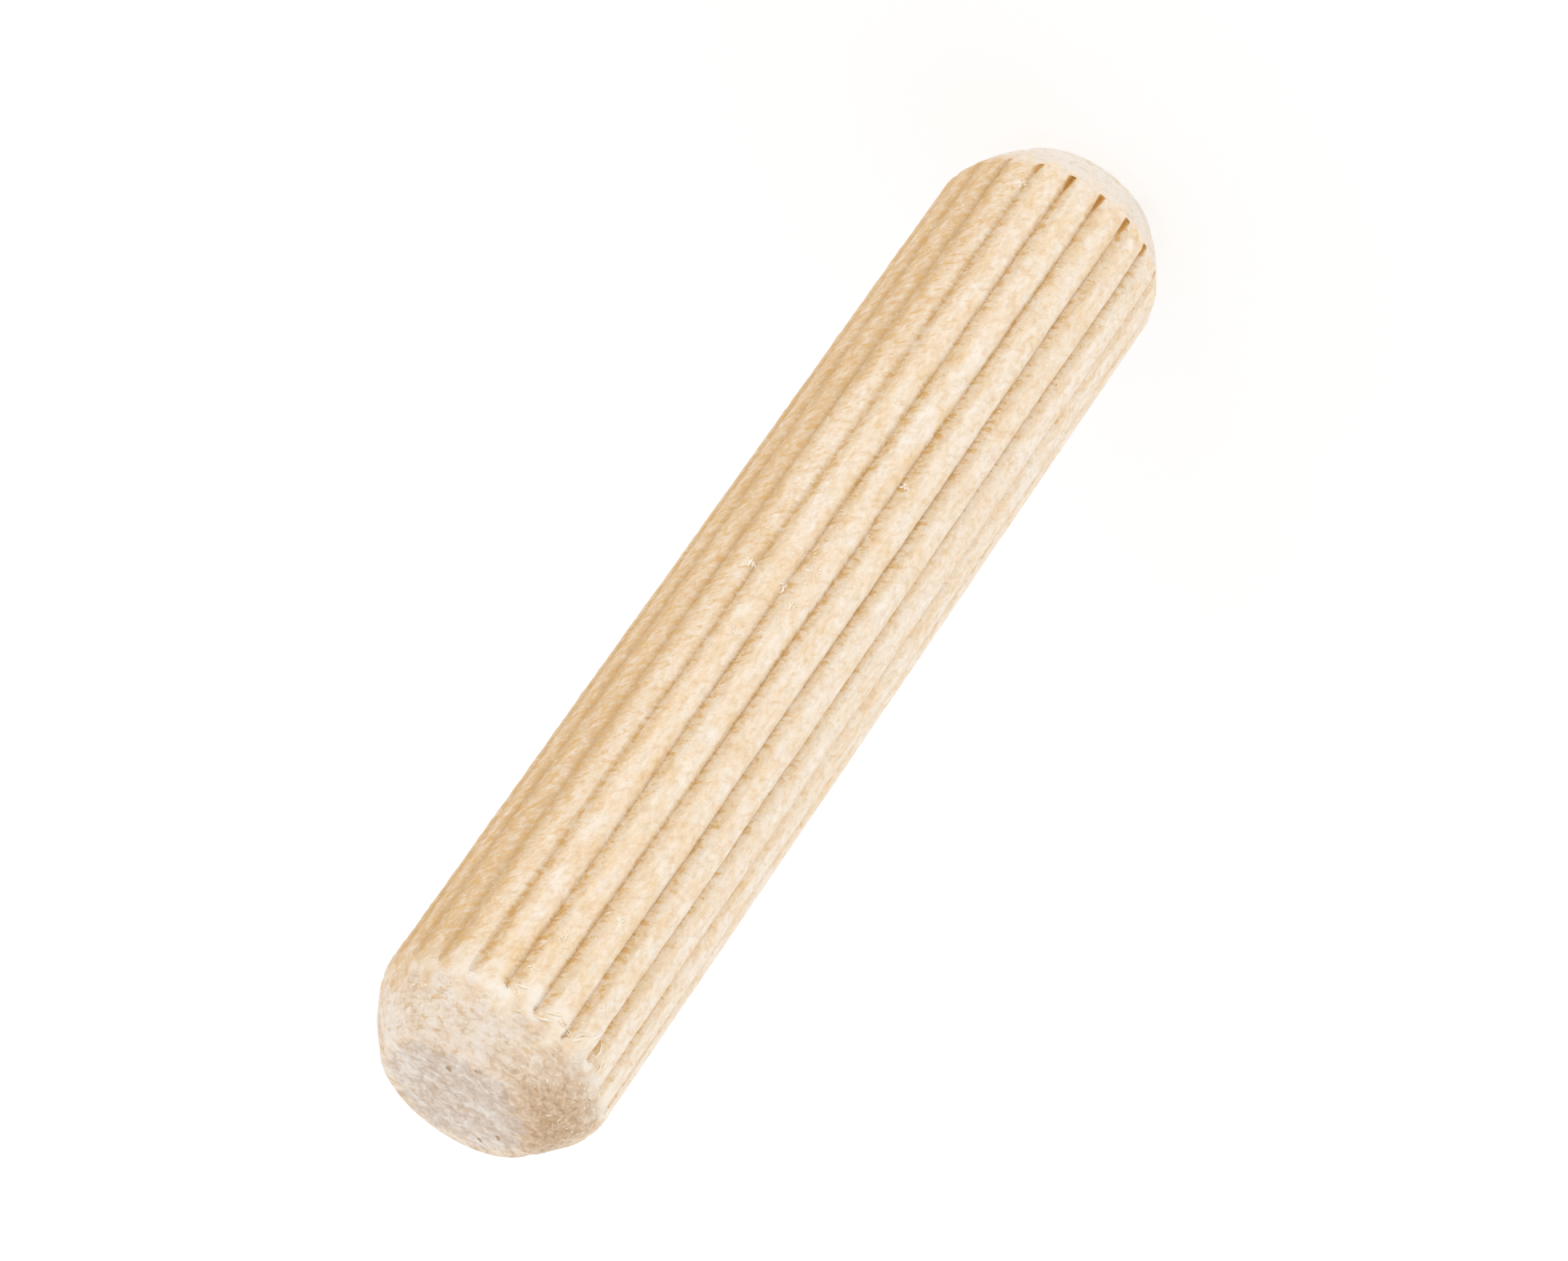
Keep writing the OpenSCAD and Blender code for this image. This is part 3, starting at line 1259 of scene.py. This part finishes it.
@dataclass
class Graph:
    """Adds the nodes of one node tree and links them."""

    tree: bpy.types.NodeTree

    def node(self, kind: str, inputs: dict | None = None, **settings: object) -> bpy.types.Node:
        """Adds a node.

        Args:
            kind: The node's type, without its ShaderNode prefix.
            inputs: Values or sockets for its inputs, by name or number.
            settings: Its own properties.

        Returns:
            The node.
        """
        node = self.tree.nodes.new(f"ShaderNode{kind}")
        for name, value in settings.items():
            setattr(node, name, value)
        for name, value in (inputs or {}).items():
            if isinstance(value, Socket):
                self.tree.links.new(value, node.inputs[name])
            else:
                node.inputs[name].default_value = value
        return node

    def math(self, operation: str, *values: Socket | float, clamp: bool = False) -> Socket:
        """Puts one to three values through a Math node."""
        node = self.node("Math", dict(enumerate(values)), operation=operation, use_clamp=clamp)
        return node.outputs[0]

    def product(self, *values: Socket | float) -> Socket:
        """Multiplies values together, kept between 0 and 1.

        Args:
            values: Values or sockets.

        Returns:
            The product.
        """
        total = values[0]
        for value in values[1:]:
            total = self.math("MULTIPLY", total, value, clamp=True)
        return total

    def mix(self, factor: Socket | float, a: Socket | RGB, b: Socket | RGB) -> Socket:
        """Mixes two colours.

        Args:
            factor: The second colour's share.
            a: The first colour.
            b: The second colour.

        Returns:
            The colour.
        """
        a, b = ((*c, 1.0) if isinstance(c, tuple) else c for c in (a, b))
        node = self.node("Mix", {0: factor, 6: a, 7: b}, data_type="RGBA")
        return node.outputs[2]

    def blend(self, factor: Socket | float, a: Socket | float, b: Socket | float) -> Socket:
        """Mixes two values."""
        node = self.node("Mix", {0: factor, 2: a, 3: b}, data_type="FLOAT")
        return node.outputs[0]

    def weighed(self, *parts: tuple[Socket, float], base: Socket | float) -> Socket:
        """Adds values, each times its weight, to a base.

        Args:
            parts: Values with their weights.
            base: What they are added to.

        Returns:
            The sum.
        """
        total: Socket | float = base
        for value, weight in parts:
            total = self.math("MULTIPLY_ADD", value, weight, total)
        return total

    def ramp(self, value: Socket, shades: tuple[tuple[float, RGB], ...]) -> Socket:
        """Colours a value by shades that each stand at a place from 0 to 1.

        Args:
            value: A value from 0 to 1.
            shades: Places with their colours.

        Returns:
            The colour.
        """
        node = self.node("ValToRGB", {0: value})
        stops = node.color_ramp.elements
        for stop, (place, colour) in zip((stops[0], stops[1]), (shades[0], shades[-1])):
            stop.position, stop.color = place, (*colour, 1.0)
        for place, colour in shades[1:-1]:
            stops.new(place).color = (*colour, 1.0)
        return node.outputs["Color"]

    def darkened(self, colour: Socket, share: Socket) -> Socket:
        """Multiplies a colour by a share of its light."""
        return self.node("VectorMath", {0: colour, "Scale": share}, operation="SCALE").outputs[0]

    def band(self, value: Socket, low: float, high: float, bottom: float = 0.0, top: float = 1.0) -> Socket:
        """Takes a value smoothly from bottom at low to top at high.

        Args:
            value: What is read.
            low: Where the rise starts.
            high: Where it ends.
            bottom: What is given up to low.
            top: What is given from high on.

        Returns:
            The value.
        """
        ends = {"From Min": low, "From Max": high, "To Min": bottom, "To Max": top}
        node = self.node("MapRange", {"Value": value, **ends}, interpolation_type="SMOOTHSTEP")
        return node.outputs["Result"]

    def noise(
        self, place: Socket, stretch: tuple[float, float, float], scale: float, detail: float = 2.0,
        roughness: float = 0.5, warp: float = 0.0,
    ) -> Socket:
        """Adds a noise from 0 to 1.

        Args:
            place: A place on the wood.
            stretch: What the place's three numbers are multiplied by first.
            scale: Cells for each unit of the place.
            detail: How many finer layers are added.
            roughness: How strong they are.
            warp: How far they bend the pattern.

        Returns:
            The noise.
        """
        stretched = self.node("VectorMath", {0: place, 1: stretch}, operation="MULTIPLY")
        inputs = {"Vector": stretched.outputs[0], "Scale": scale, "Detail": detail}
        node = self.node("TexNoise", {**inputs, "Roughness": roughness, "Distortion": warp})
        return node.outputs["Fac"]

    def hairs(self, noise: Socket, width: float) -> Socket:
        """Thin curved lines where a noise crosses its middle."""
        away = self.math("ABSOLUTE", self.math("SUBTRACT", noise, 0.5))
        return self.band(away, 0.0, width, 1.0, 0.0)

    def distance(self, vector: Socket, point: tuple[float, float, float]) -> Socket:
        """Distance of a place from a point."""
        return self.node("VectorMath", {0: vector, 1: point}, operation="DISTANCE").outputs["Value"]

    def wrap(self, place: Socket, radius: float, seam_deg: float, turned_deg: float) -> Socket:
        """Unrolls the dowel's side, so that a pattern can run at a slant across it.

        Args:
            place: A place on the wood.
            radius: The dowel's radius, in the place's own unit.
            seam_deg: Angle of the line at which the unrolled surface is cut.
            turned_deg: How far the unrolled surface is turned.

        Returns:
            Length along the slant and length across it, as a vector.
        """
        parts = self.node("SeparateXYZ", {0: self.turned(place, 180.0 - seam_deg)})
        angle = self.math("ARCTAN2", parts.outputs[1], parts.outputs[0])
        flat = self.node("CombineXYZ", {0: self.math("MULTIPLY", angle, radius), 1: parts.outputs[2]})
        return self.turned(flat.outputs[0], -turned_deg)

    def turned(self, vector: Socket, degrees: float) -> Socket:
        """Turns a vector round +Z."""
        inputs = {"Vector": vector, "Angle": math.radians(degrees)}
        return self.node("VectorRotate", inputs, rotation_type="Z_AXIS").outputs[0]

    def value(self, name: Field) -> Socket:
        """Reads one of the body's fields."""
        node = self.node("Attribute", attribute_name=name.value, attribute_type="GEOMETRY")
        return node.outputs["Fac"]


@dataclass(frozen=True)
class Effect:
    """A shader node group that turns a place on the wood, in millimetres, into a few masks."""

    name: str
    outputs: tuple[str, ...]

    def build(self) -> bpy.types.NodeTree:
        """Makes the group with a Place input, and links what masks() gives to its outputs.

        Returns:
            The group's node tree.
        """
        tree = bpy.data.node_groups.new(self.name, "ShaderNodeTree")
        tree.interface.new_socket("Place", in_out="INPUT", socket_type="NodeSocketVector")
        for name in self.outputs:
            tree.interface.new_socket(name, in_out="OUTPUT", socket_type="NodeSocketFloat")
        place = tree.nodes.new("NodeGroupInput").outputs["Place"]
        out = tree.nodes.new("NodeGroupOutput")
        for name, socket in zip(self.outputs, self.masks(Graph(tree), place)):
            tree.links.new(socket, out.inputs[name])
        return tree

    def masks(self, g: Graph, place: Socket) -> tuple[Socket, ...]:
        """Gives one socket for each output."""
        raise NotImplementedError


@dataclass(frozen=True)
class Grain(Effect):
    """Lighter and darker wood along the dowel."""

    name: str = "grain"
    outputs: tuple[str, ...] = ("Streaks", "Mottle", "Speckle", "Height")

    def masks(self, g: Graph, place: Socket) -> tuple[Socket, ...]:
        """Makes long streaks, soft blotches, fine speckle and fine ridges, each about 0.5.

        Args:
            g: The group's graph.
            place: A place on the wood, in millimetres.

        Returns:
            The streaks, mottle, speckle and height.
        """
        streaks = g.noise(place, (1.0, 1.0, 0.09), scale=2.6, detail=4.0, roughness=0.65)
        mottle = g.noise(place, (1.0, 1.0, 0.5), scale=2.2, detail=4.0, roughness=0.62)
        speckle = g.noise(place, (1.0, 1.0, 0.5), scale=7.0, detail=3.0, roughness=0.65)
        height = g.noise(place, (1.0, 1.0, 0.15), scale=9.0, detail=3.0, roughness=0.6)
        return streaks, mottle, speckle, height


@dataclass(frozen=True)
class Torn(Effect):
    """Flecks and hairs where fibres were torn across the flutes, at a slant to them.

    The unrolled side is cut along the root of a flute at the back.
    """

    name: str = "torn"
    outputs: tuple[str, ...] = ("Mottle", "Strokes", "Flecks", "Hairs", "Height")
    radius: float = Shape.radius / MM
    seam_deg: float = Shape.front_deg + 360.0 / Shape.flutes * (Shape.flutes // 2)
    hair_width: float = 0.035
    hair_gaps: Pair = (0.48, 0.6)
    stroke_height: float = 0.5

    def masks(self, g: Graph, place: Socket) -> tuple[Socket, ...]:
        """Makes blotches, combed strokes, ochre flecks, pale hairs and a rough height.

        Args:
            g: The group's graph.
            place: A place on the wood, in millimetres.

        Returns:
            The mottle, strokes, flecks, hairs and height.
        """
        flat = g.wrap(place, self.radius, self.seam_deg, STROKE_DEG)
        mottle = g.noise(flat, (1.4, 1.8, 1.5), scale=1.9, detail=4.0, roughness=0.62, warp=0.4)
        strokes = g.noise(flat, (1.3, 2.6, 1.5), scale=3.2, detail=3.0, roughness=0.62)
        flecks = g.noise(flat, (1.2, 2.0, 1.5), scale=2.1, detail=4.0, roughness=0.66, warp=0.3)
        lines = g.noise(flat, (1.5, 3.0, 1.5), scale=1.8, detail=2.0, roughness=0.55)
        gaps = g.band(g.noise(flat, (1.0, 1.0, 1.0), scale=2.9, detail=1.0), *self.hair_gaps)
        rough = g.noise(flat, (1.2, 2.0, 1.5), scale=5.0, detail=5.0, roughness=0.7)
        height = g.math("MULTIPLY_ADD", strokes, self.stroke_height, rough)
        return mottle, strokes, flecks, g.product(g.hairs(lines, self.hair_width), gaps), height


@dataclass(frozen=True)
class EndGrain(Effect):
    """Fuzzy, sawn wood across the grain."""

    name: str = "end_grain"
    outputs: tuple[str, ...] = ("Patches", "Mottle", "Flecks", "Pits", "Height")
    fleck_band: Pair = (0.57, 0.66)
    pits_at: tuple[tuple[float, float, float], ...] = (
        (0.46, -1.42, 40.0), (-0.44, -2.07, 40.0), (-0.96, 1.67, 40.0), (-1.52, 0.91, 40.0),
        (-0.82, -3.27, 39.2),
    )
    pit_band: Pair = (0.05, 0.15)
    pit_raggedness: float = 0.35

    def masks(self, g: Graph, place: Socket) -> tuple[Socket, ...]:
        """Makes pale and tan patches, fine mottle, ochre flecks, a few dark pits and a fuzzy height.

        Args:
            g: The group's graph.
            place: A place on the wood, in millimetres.

        Returns:
            The patches, mottle, flecks, pits and height.
        """
        patches = g.noise(place, (1.0, 1.0, 1.3), scale=0.9, detail=3.0, roughness=0.6)
        mottle = g.noise(place, (1.0, 1.0, 2.0), scale=3.0, detail=5.0, roughness=0.72, warp=0.5)
        flecks = g.noise(place, (1.0, 1.0, 1.8), scale=2.3, detail=2.0, roughness=0.55, warp=0.6)
        fuzz = g.noise(place, (1.0, 1.0, 2.0), scale=6.0, detail=5.0, roughness=0.72)
        nearest: Socket | float = 1.0
        for pit in self.pits_at:
            nearest = g.math("MINIMUM", nearest, g.distance(place, pit))
        ragged = g.math("MULTIPLY_ADD", g.math("SUBTRACT", fuzz, 0.5), self.pit_raggedness, nearest)
        pits = g.band(ragged, *self.pit_band, 1.0, 0.0)
        return patches, mottle, g.band(flecks, *self.fleck_band), pits, fuzz


@dataclass(frozen=True)
class WoodFinish:
    """Colours of the bare wood, in linear light, and how rough it is."""

    shades: tuple[tuple[float, RGB], ...] = (
        (0.00, (0.730, 0.475, 0.210)),
        (0.27, (0.870, 0.610, 0.340)),
        (0.50, (0.925, 0.710, 0.475)),
        (0.74, (0.955, 0.800, 0.625)),
        (1.00, (0.980, 0.880, 0.760)),
    )
    fleck: RGB = (0.750, 0.455, 0.170)
    torn: RGB = (0.720, 0.480, 0.260)
    hair: RGB = (0.975, 0.880, 0.740)
    # Partly the wood's own darker root line, partly painted shade in the groove's root
    root: RGB = (0.560, 0.345, 0.175)
    # Pale lips: partly the frayed wood's own paleness, partly a painted highlight
    lip: RGB = (0.990, 0.920, 0.820)
    # Painted shade in the pits where the flutes end
    hollow: RGB = (0.680, 0.365, 0.105)
    end_shades: tuple[tuple[float, RGB], ...] = (
        (0.00, (0.560, 0.365, 0.215)),
        (0.22, (0.700, 0.495, 0.325)),
        (0.45, (0.835, 0.650, 0.480)),
        (0.68, (0.940, 0.785, 0.630)),
        (1.00, (0.985, 0.885, 0.780)),
    )
    face_shades: tuple[tuple[float, RGB], ...] = (
        (0.00, (0.590, 0.435, 0.310)),
        (0.43, (0.710, 0.568, 0.460)),
        (0.73, (0.810, 0.695, 0.600)),
        (1.00, (0.930, 0.845, 0.765)),
    )
    pit: RGB = (0.420, 0.270, 0.120)
    fine_dark: float = 0.90
    roughness: float = 0.8
    specular: float = 0.2
    bump: float = 0.06 * MM


@dataclass(frozen=True)
class ShankTones:
    """How strongly each pattern makes the shank's wood lighter or darker, and where it does.

    A band holds the two ends of what it reads, and where it isn't 0 to 1, what it gives for them.
    """

    middle: float = 0.60
    blotches: float = 1.2
    fine: float = 0.45
    streaks: float = 0.6
    # Paler crests: partly the lands' own tone, partly a painted highlight
    crests: float = 0.13
    # Darker slopes and walls: partly the torn slopes' own tan, partly painted shade on the walls that face
    # away from the light
    slopes: float = -0.18
    torn: float = -0.12
    torn_mottle: float = 0.6
    combed_slopes: float = 1.6
    slope_band: Pair = (0.1, 0.85)
    combed_torn: float = 1.2
    torn_band: Pair = (0.1, 0.95)
    torn_fine: float = 0.7
    even_band: Band = (0.0, 1.0, 1.0, 0.4)
    tint_grain_band: Band = (0.3, 0.7, 1.0, 0.5)
    tint_mottle_band: Band = (0.40, 0.64, 1.0, 0.65)
    tint_crest_band: Band = (0.0, 0.9, 1.0, 0.6)
    fine_band: Pair = (0.25, 0.65)
    near_root_band: Band = (0.2, 1.0, 0.0, 0.055)
    torn_flecks: float = 0.035
    fleck_band: Pair = (0.51, 0.65)
    fleck_rough_band: Band = (0.0, 1.0, 0.28, 0.95)
    fleck_torn_band: Band = (0.0, 1.0, 1.0, 0.75)
    hair_torn_band: Band = (0.0, 1.0, 0.7, 0.3)
    root_break_band: Band = (0.55, 1.0, 0.05, 0.78)
    root_torn_band: Band = (0.2, 1.0, 1.0, 0.6)
    slope_height_band: Band = (0.0, 0.5, 0.25, 1.0)
    torn_height: float = 0.6
    grain_height: float = 0.3


@dataclass(frozen=True)
class EndTones:
    """How strongly each pattern makes the ends' wood lighter or darker, and where it does."""

    middle: float = 0.69
    patches: float = 1.3
    mottle: float = 1.7
    # Darkens the ends where the upper lead-in's painted shade lies, and lightens the lower lead-in's
    # painted light
    tan: float = -0.50
    end_shade_patch_band: Pair = (0.1, 0.7)
    face: float = -0.3
    face_mottle: float = 0.6
    face_band: Pair = (0.1, 0.9)
    ochre_face_band: Band = (0.0, 1.0, 0.5, 0.2)
    ochre_end_shade_band: Band = (0.2, 0.7, 1.0, 0.4)
    fine_band: Pair = (0.28, 0.58)
    pits: float = 0.8
    lips: float = 0.8
    # Where the painted shade in the pits shows
    hollow_band: Pair = (0.05, 0.45)


@dataclass
class WoodMaterial:
    """The bare wood's material, which reads the body's fields."""

    finish: WoodFinish
    shank_tones: ShankTones = ShankTones()
    end_tones: EndTones = EndTones()
    g: Graph = field(init=False)

    def build(self) -> bpy.types.Material:
        """Makes the material.

        Returns:
            The finished material.
        """
        material, self.g = new_material("bare_wood")
        place = place_in_mm(self.g)
        grain, torn, ends = (add_effect(self.g, effect, place) for effect in (Grain(), Torn(), EndGrain()))
        colour = self._end_colour(ends, self._shank_colour(grain, torn))
        add_surface(self.g, colour, self._height(grain, torn, ends), self.finish)
        return material

    def _shank_colour(self, grain: Sockets, torn: Sockets) -> Socket:
        """Colours the lands, slopes and roots, with a painted highlight on the crests and painted shade on
        the walls and in the roots.

        Args:
            grain: Masks of the grain.
            torn: Masks of the torn fibres.

        Returns:
            The colour.
        """
        f, t, g = self.finish, self.shank_tones, self.g
        crest = g.value(Field.CREST)
        combed = g.math("SUBTRACT", torn["Strokes"], 0.5)
        slope = g.band(g.math("MULTIPLY_ADD", combed, t.combed_slopes, g.value(Field.SLOPE)), *t.slope_band)
        sector = g.band(g.math("MULTIPLY_ADD", combed, t.combed_torn, g.value(Field.TORN)), *t.torn_band)
        even = g.band(sector, *t.even_band)
        rough = g.math("MAXIMUM", slope, sector)
        blotch = g.blend(rough, grain["Mottle"], torn["Mottle"])
        fine = g.blend(g.math("MULTIPLY", rough, t.torn_fine), grain["Speckle"], torn["Strokes"])
        torn_mottle = g.product(sector, g.math("SUBTRACT", torn["Mottle"], 0.5))
        tone = g.weighed(
            (blotch, t.blotches), (fine, t.fine), (grain["Streaks"], t.streaks),
            (g.math("MULTIPLY", crest, even), t.crests), (g.product(slope, even), t.slopes),
            (sector, t.torn), (torn_mottle, t.torn_mottle),
            base=t.middle - 0.5 * (t.blotches + t.fine + t.streaks),
        )
        tinted = g.product(
            sector, g.band(grain["Mottle"], *t.tint_grain_band),
            g.band(torn["Mottle"], *t.tint_mottle_band), g.band(crest, *t.tint_crest_band),
        )
        colour = g.mix(tinted, g.ramp(tone, f.shades), f.torn)
        colour = g.darkened(colour, g.band(fine, *t.fine_band, f.fine_dark, 1.0))
        near_root = g.band(g.value(Field.SLOPE), *t.near_root_band)
        flecks = g.weighed((near_root, 1.0), (sector, t.torn_flecks), base=torn["Flecks"])
        flecks = g.product(
            g.band(flecks, *t.fleck_band), g.band(rough, *t.fleck_rough_band),
            g.band(sector, *t.fleck_torn_band),
        )
        colour = g.mix(flecks, colour, f.fleck)
        hairs = g.product(torn["Hairs"], rough, g.band(sector, *t.hair_torn_band))
        colour = g.mix(hairs, colour, f.hair)
        # Root lines: partly the wood's own darker line, partly painted shade in the roots
        root = g.product(
            g.value(Field.ROOT), g.band(torn["Height"], *t.root_break_band),
            g.band(g.value(Field.TORN), *t.root_torn_band),
        )
        return g.mix(root, colour, f.root)

    def _end_colour(self, ends: Sockets, colour: Socket) -> Socket:
        """Lays the colours of the lead-ins and flat ends over the shank's, with painted shade and painted
        light on the lead-ins, pale lips that are partly a painted highlight, and painted shade in the pits.

        Args:
            ends: Masks of the end grain.
            colour: The shank's colour.

        Returns:
            The colour of all the wood.
        """
        f, t, g = self.finish, self.end_tones, self.g
        # tan reads the painted shade of the upper lead-in and the painted light of the lower one
        tan, face = g.value(Field.END_SHADE_AND_LIGHT), g.value(Field.FACE)
        patches = g.blend(g.band(tan, *t.end_shade_patch_band), ends["Patches"], 0.5)
        tone = g.weighed(
            (patches, t.patches), (ends["Mottle"], t.mottle), (tan, t.tan),
            base=t.middle - 0.5 * (t.patches + t.mottle),
        )
        face_tone = g.weighed((ends["Mottle"], t.face_mottle), base=g.math("ADD", tone, t.face))
        on_face = g.weighed((ends["Patches"], 1.0), base=g.math("SUBTRACT", face, 0.5))
        on_face = g.band(on_face, *t.face_band)
        end = g.mix(on_face, g.ramp(tone, f.end_shades), g.ramp(face_tone, f.face_shades))
        ochre = g.product(
            ends["Flecks"], g.band(face, *t.ochre_face_band),
            g.band(g.math("ABSOLUTE", tan), *t.ochre_end_shade_band),
        )
        end = g.mix(ochre, end, f.fleck)
        end = g.darkened(end, g.band(ends["Height"], *t.fine_band, f.fine_dark, 1.0))
        end = g.mix(g.product(ends["Pits"], t.pits), end, f.pit)
        colour = g.mix(g.value(Field.LEAD_IN), colour, end)
        # Pale lips and land ends: partly the frayed wood's own paleness, partly a painted highlight
        colour = g.mix(g.product(g.value(Field.LIP), t.lips), colour, f.lip)
        # Painted shade in the pits where the flutes end
        return g.mix(g.band(g.value(Field.PIT_SHADE), *t.hollow_band), colour, f.hollow)

    def _height(self, grain: Sockets, torn: Sockets, ends: Sockets) -> Socket:
        """Gives the height of the fine texture, from about 0 to 1.

        Args:
            grain: Masks of the grain.
            torn: Masks of the torn fibres.
            ends: Masks of the end grain.

        Returns:
            The height.
        """
        t, g = self.shank_tones, self.g
        on_slope = g.band(g.value(Field.SLOPE), *t.slope_height_band)
        rough = g.math("MAXIMUM", on_slope, g.math("MULTIPLY", g.value(Field.TORN), t.torn_height))
        even = g.math("MULTIPLY", grain["Height"], t.grain_height)
        shank = g.math("MULTIPLY_ADD", torn["Height"], rough, even)
        return g.blend(g.value(Field.LEAD_IN), shank, ends["Height"])


@dataclass(frozen=True)
class FibreFinish:
    """Colours of loose fibres, in linear light."""

    pale: RGB = (0.985, 0.900, 0.780)
    tan: RGB = (0.930, 0.760, 0.550)
    pale_band: Pair = (0.35, 0.65)
    roughness: float = 0.7
    specular: float = 0.25
    bump: float = 0.01 * MM

    def build(self) -> bpy.types.Material:
        """Makes the material, which changes from fibre to fibre with its place.

        Returns:
            The finished material.
        """
        material, g = new_material("loose_fibre")
        grain = add_effect(g, Grain(), place_in_mm(g))
        colour = g.mix(g.band(grain["Mottle"], *self.pale_band), self.tan, self.pale)
        add_surface(g, colour, grain["Height"], self)
        return material


def new_material(name: str) -> tuple[bpy.types.Material, Graph]:
    """Makes a material with an empty node tree.

    Args:
        name: The material's name.

    Returns:
        The material and its graph.
    """
    material = bpy.data.materials.new(name)
    material.use_nodes = True
    material.node_tree.nodes.clear()
    return material, Graph(material.node_tree)


def add_surface(g: Graph, colour: Socket, height: Socket, finish: WoodFinish | FibreFinish) -> None:
    """Ends a material in its shader.

    Args:
        g: The material's graph.
        colour: Its colour.
        height: The height of its fine texture, from 0 to 1.
        finish: The texture's real height, the roughness and the specular level.
    """
    bump = g.node("Bump", {"Height": height, "Distance": finish.bump, "Strength": 1.0})
    shader = g.node("BsdfPrincipled", {
        "Base Color": colour, "Normal": bump.outputs[0],
        "Roughness": finish.roughness, "Specular IOR Level": finish.specular,
    })
    g.tree.links.new(shader.outputs[0], g.node("OutputMaterial").inputs[0])


def place_in_mm(g: Graph) -> Socket:
    """The place on the wood, in millimetres."""
    coordinates = g.node("TexCoord").outputs["Object"]
    return g.node("VectorMath", {0: coordinates, "Scale": 1 / MM}, operation="SCALE").outputs[0]


def add_effect(g: Graph, effect: Effect, place: Socket) -> Sockets:
    """Adds an effect's group, which is made once, and gives its masks by name."""
    group = bpy.data.node_groups.get(effect.name) or effect.build()
    return g.node("Group", {"Place": place}, node_tree=group).outputs


@dataclass(frozen=True)
class View:
    """The camera, placed round the dowel's middle."""

    place_from_middle: Vector = Vector((-33.7, -170.3, 107.5)) * MM
    axis_tilt_deg: float = 55.1
    lens: float = 149.4

    def build(self, shape: Shape) -> None:
        """Adds the camera, turned so that the dowel's axis runs up to the right from its upper end.

        Args:
            shape: The dowel's sizes.
        """
        back = self.place_from_middle.normalized()
        down = Vector((0, 0, -1))
        along = (down - back * down.dot(back)).normalized()
        right = Quaternion(back, math.radians(-self.axis_tilt_deg)) @ along
        up = back.cross(right)
        turn = Matrix((right, up, back)).transposed().to_4x4()
        data = bpy.data.cameras.new("camera")
        data.lens = self.lens
        data.clip_start, data.clip_end = 10 * MM, 10.0
        camera = bpy.data.objects.new("camera", data)
        place = Vector((0, 0, shape.middle)) + self.place_from_middle
        camera.matrix_world = Matrix.Translation(place) @ turn
        bpy.context.scene.collection.objects.link(camera)
        bpy.context.scene.camera = camera


@dataclass(frozen=True)
class Studio:
    """A pale floor, an even sky and one soft lamp."""

    floor_size: float = 3.0
    floor_albedo: float = 0.50
    floor_lift: float = 0.525
    floor_glow: float = 1.04
    sky: float = 0.97
    lamp_from: Vector = Vector((0.42, -0.80, 0.42))
    lamp_distance: float = 0.4
    lamp_size: float = 0.2
    lamp_power: float = 0.08

    def build(self, shape: Shape) -> None:
        """Adds the floor, the sky and the lamp.

        Args:
            shape: The dowel's sizes.
        """
        self._add_floor()
        scene = bpy.context.scene
        world = bpy.data.worlds.new("sky")
        world.use_nodes = True
        world.node_tree.nodes["Background"].inputs["Color"].default_value = (1, 1, 1, 1)
        world.node_tree.nodes["Background"].inputs["Strength"].default_value = self.sky
        scene.world = world
        data = bpy.data.lights.new("lamp", "AREA")
        data.shape, data.size, data.energy = "DISK", self.lamp_size, self.lamp_power
        lamp = bpy.data.objects.new("lamp", data)
        direction = self.lamp_from.normalized()
        lamp.location = Vector((0, 0, shape.middle)) + direction * self.lamp_distance
        lamp.rotation_mode = "QUATERNION"
        lamp.rotation_quaternion = (-direction).to_track_quat("-Z", "Y")
        scene.collection.objects.link(lamp)
        scene.view_settings.view_transform = "Standard"

    def _add_floor(self) -> None:
        """Adds the floor, which looks white where no shadow falls on it."""
        bm = bmesh.new()
        bmesh.ops.create_grid(bm, x_segments=1, y_segments=1, size=self.floor_size / 2)
        mesh = bpy.data.meshes.new("floor")
        bm.to_mesh(mesh)
        bm.free()
        floor = bpy.data.objects.new("floor", mesh)
        bpy.context.scene.collection.objects.link(floor)
        material, g = new_material("floor")
        seen = g.node("LightPath").outputs["Is Camera Ray"]
        diffuse = g.node("BsdfDiffuse", {"Color": (*(self.floor_albedo,) * 3, 1.0)})
        lift = g.node("Emission", {"Strength": self.floor_lift})
        both = g.node("AddShader", {0: diffuse.outputs[0], 1: lift.outputs[0]})
        glow = g.node("Emission", {"Strength": self.floor_glow})
        split = g.node("MixShader", {0: seen, 1: glow.outputs[0], 2: both.outputs[0]})
        g.tree.links.new(split.outputs[0], g.node("OutputMaterial").inputs[0])
        mesh.materials.append(material)


def main() -> None:
    """Builds the dowel, its fibres and the studio round them."""
    shape = Shape()
    dowel = DowelBody(shape)
    body = dowel.build()
    body.data.materials.append(WoodMaterial(WoodFinish()).build())
    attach(body, BODY)
    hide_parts(NODE)
    fibre = FibreFinish().build()
    surface = dowel.surface()
    for kind in (SlopeHairs(), EndHairs(), Fringe(), Frays(), Curls()):
        piece = kind.build(surface)
        piece.data.materials.append(fibre)
        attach(piece, BODY)
    View().build(shape)
    Studio().build(shape)


if __name__ == "__main__":
    main()
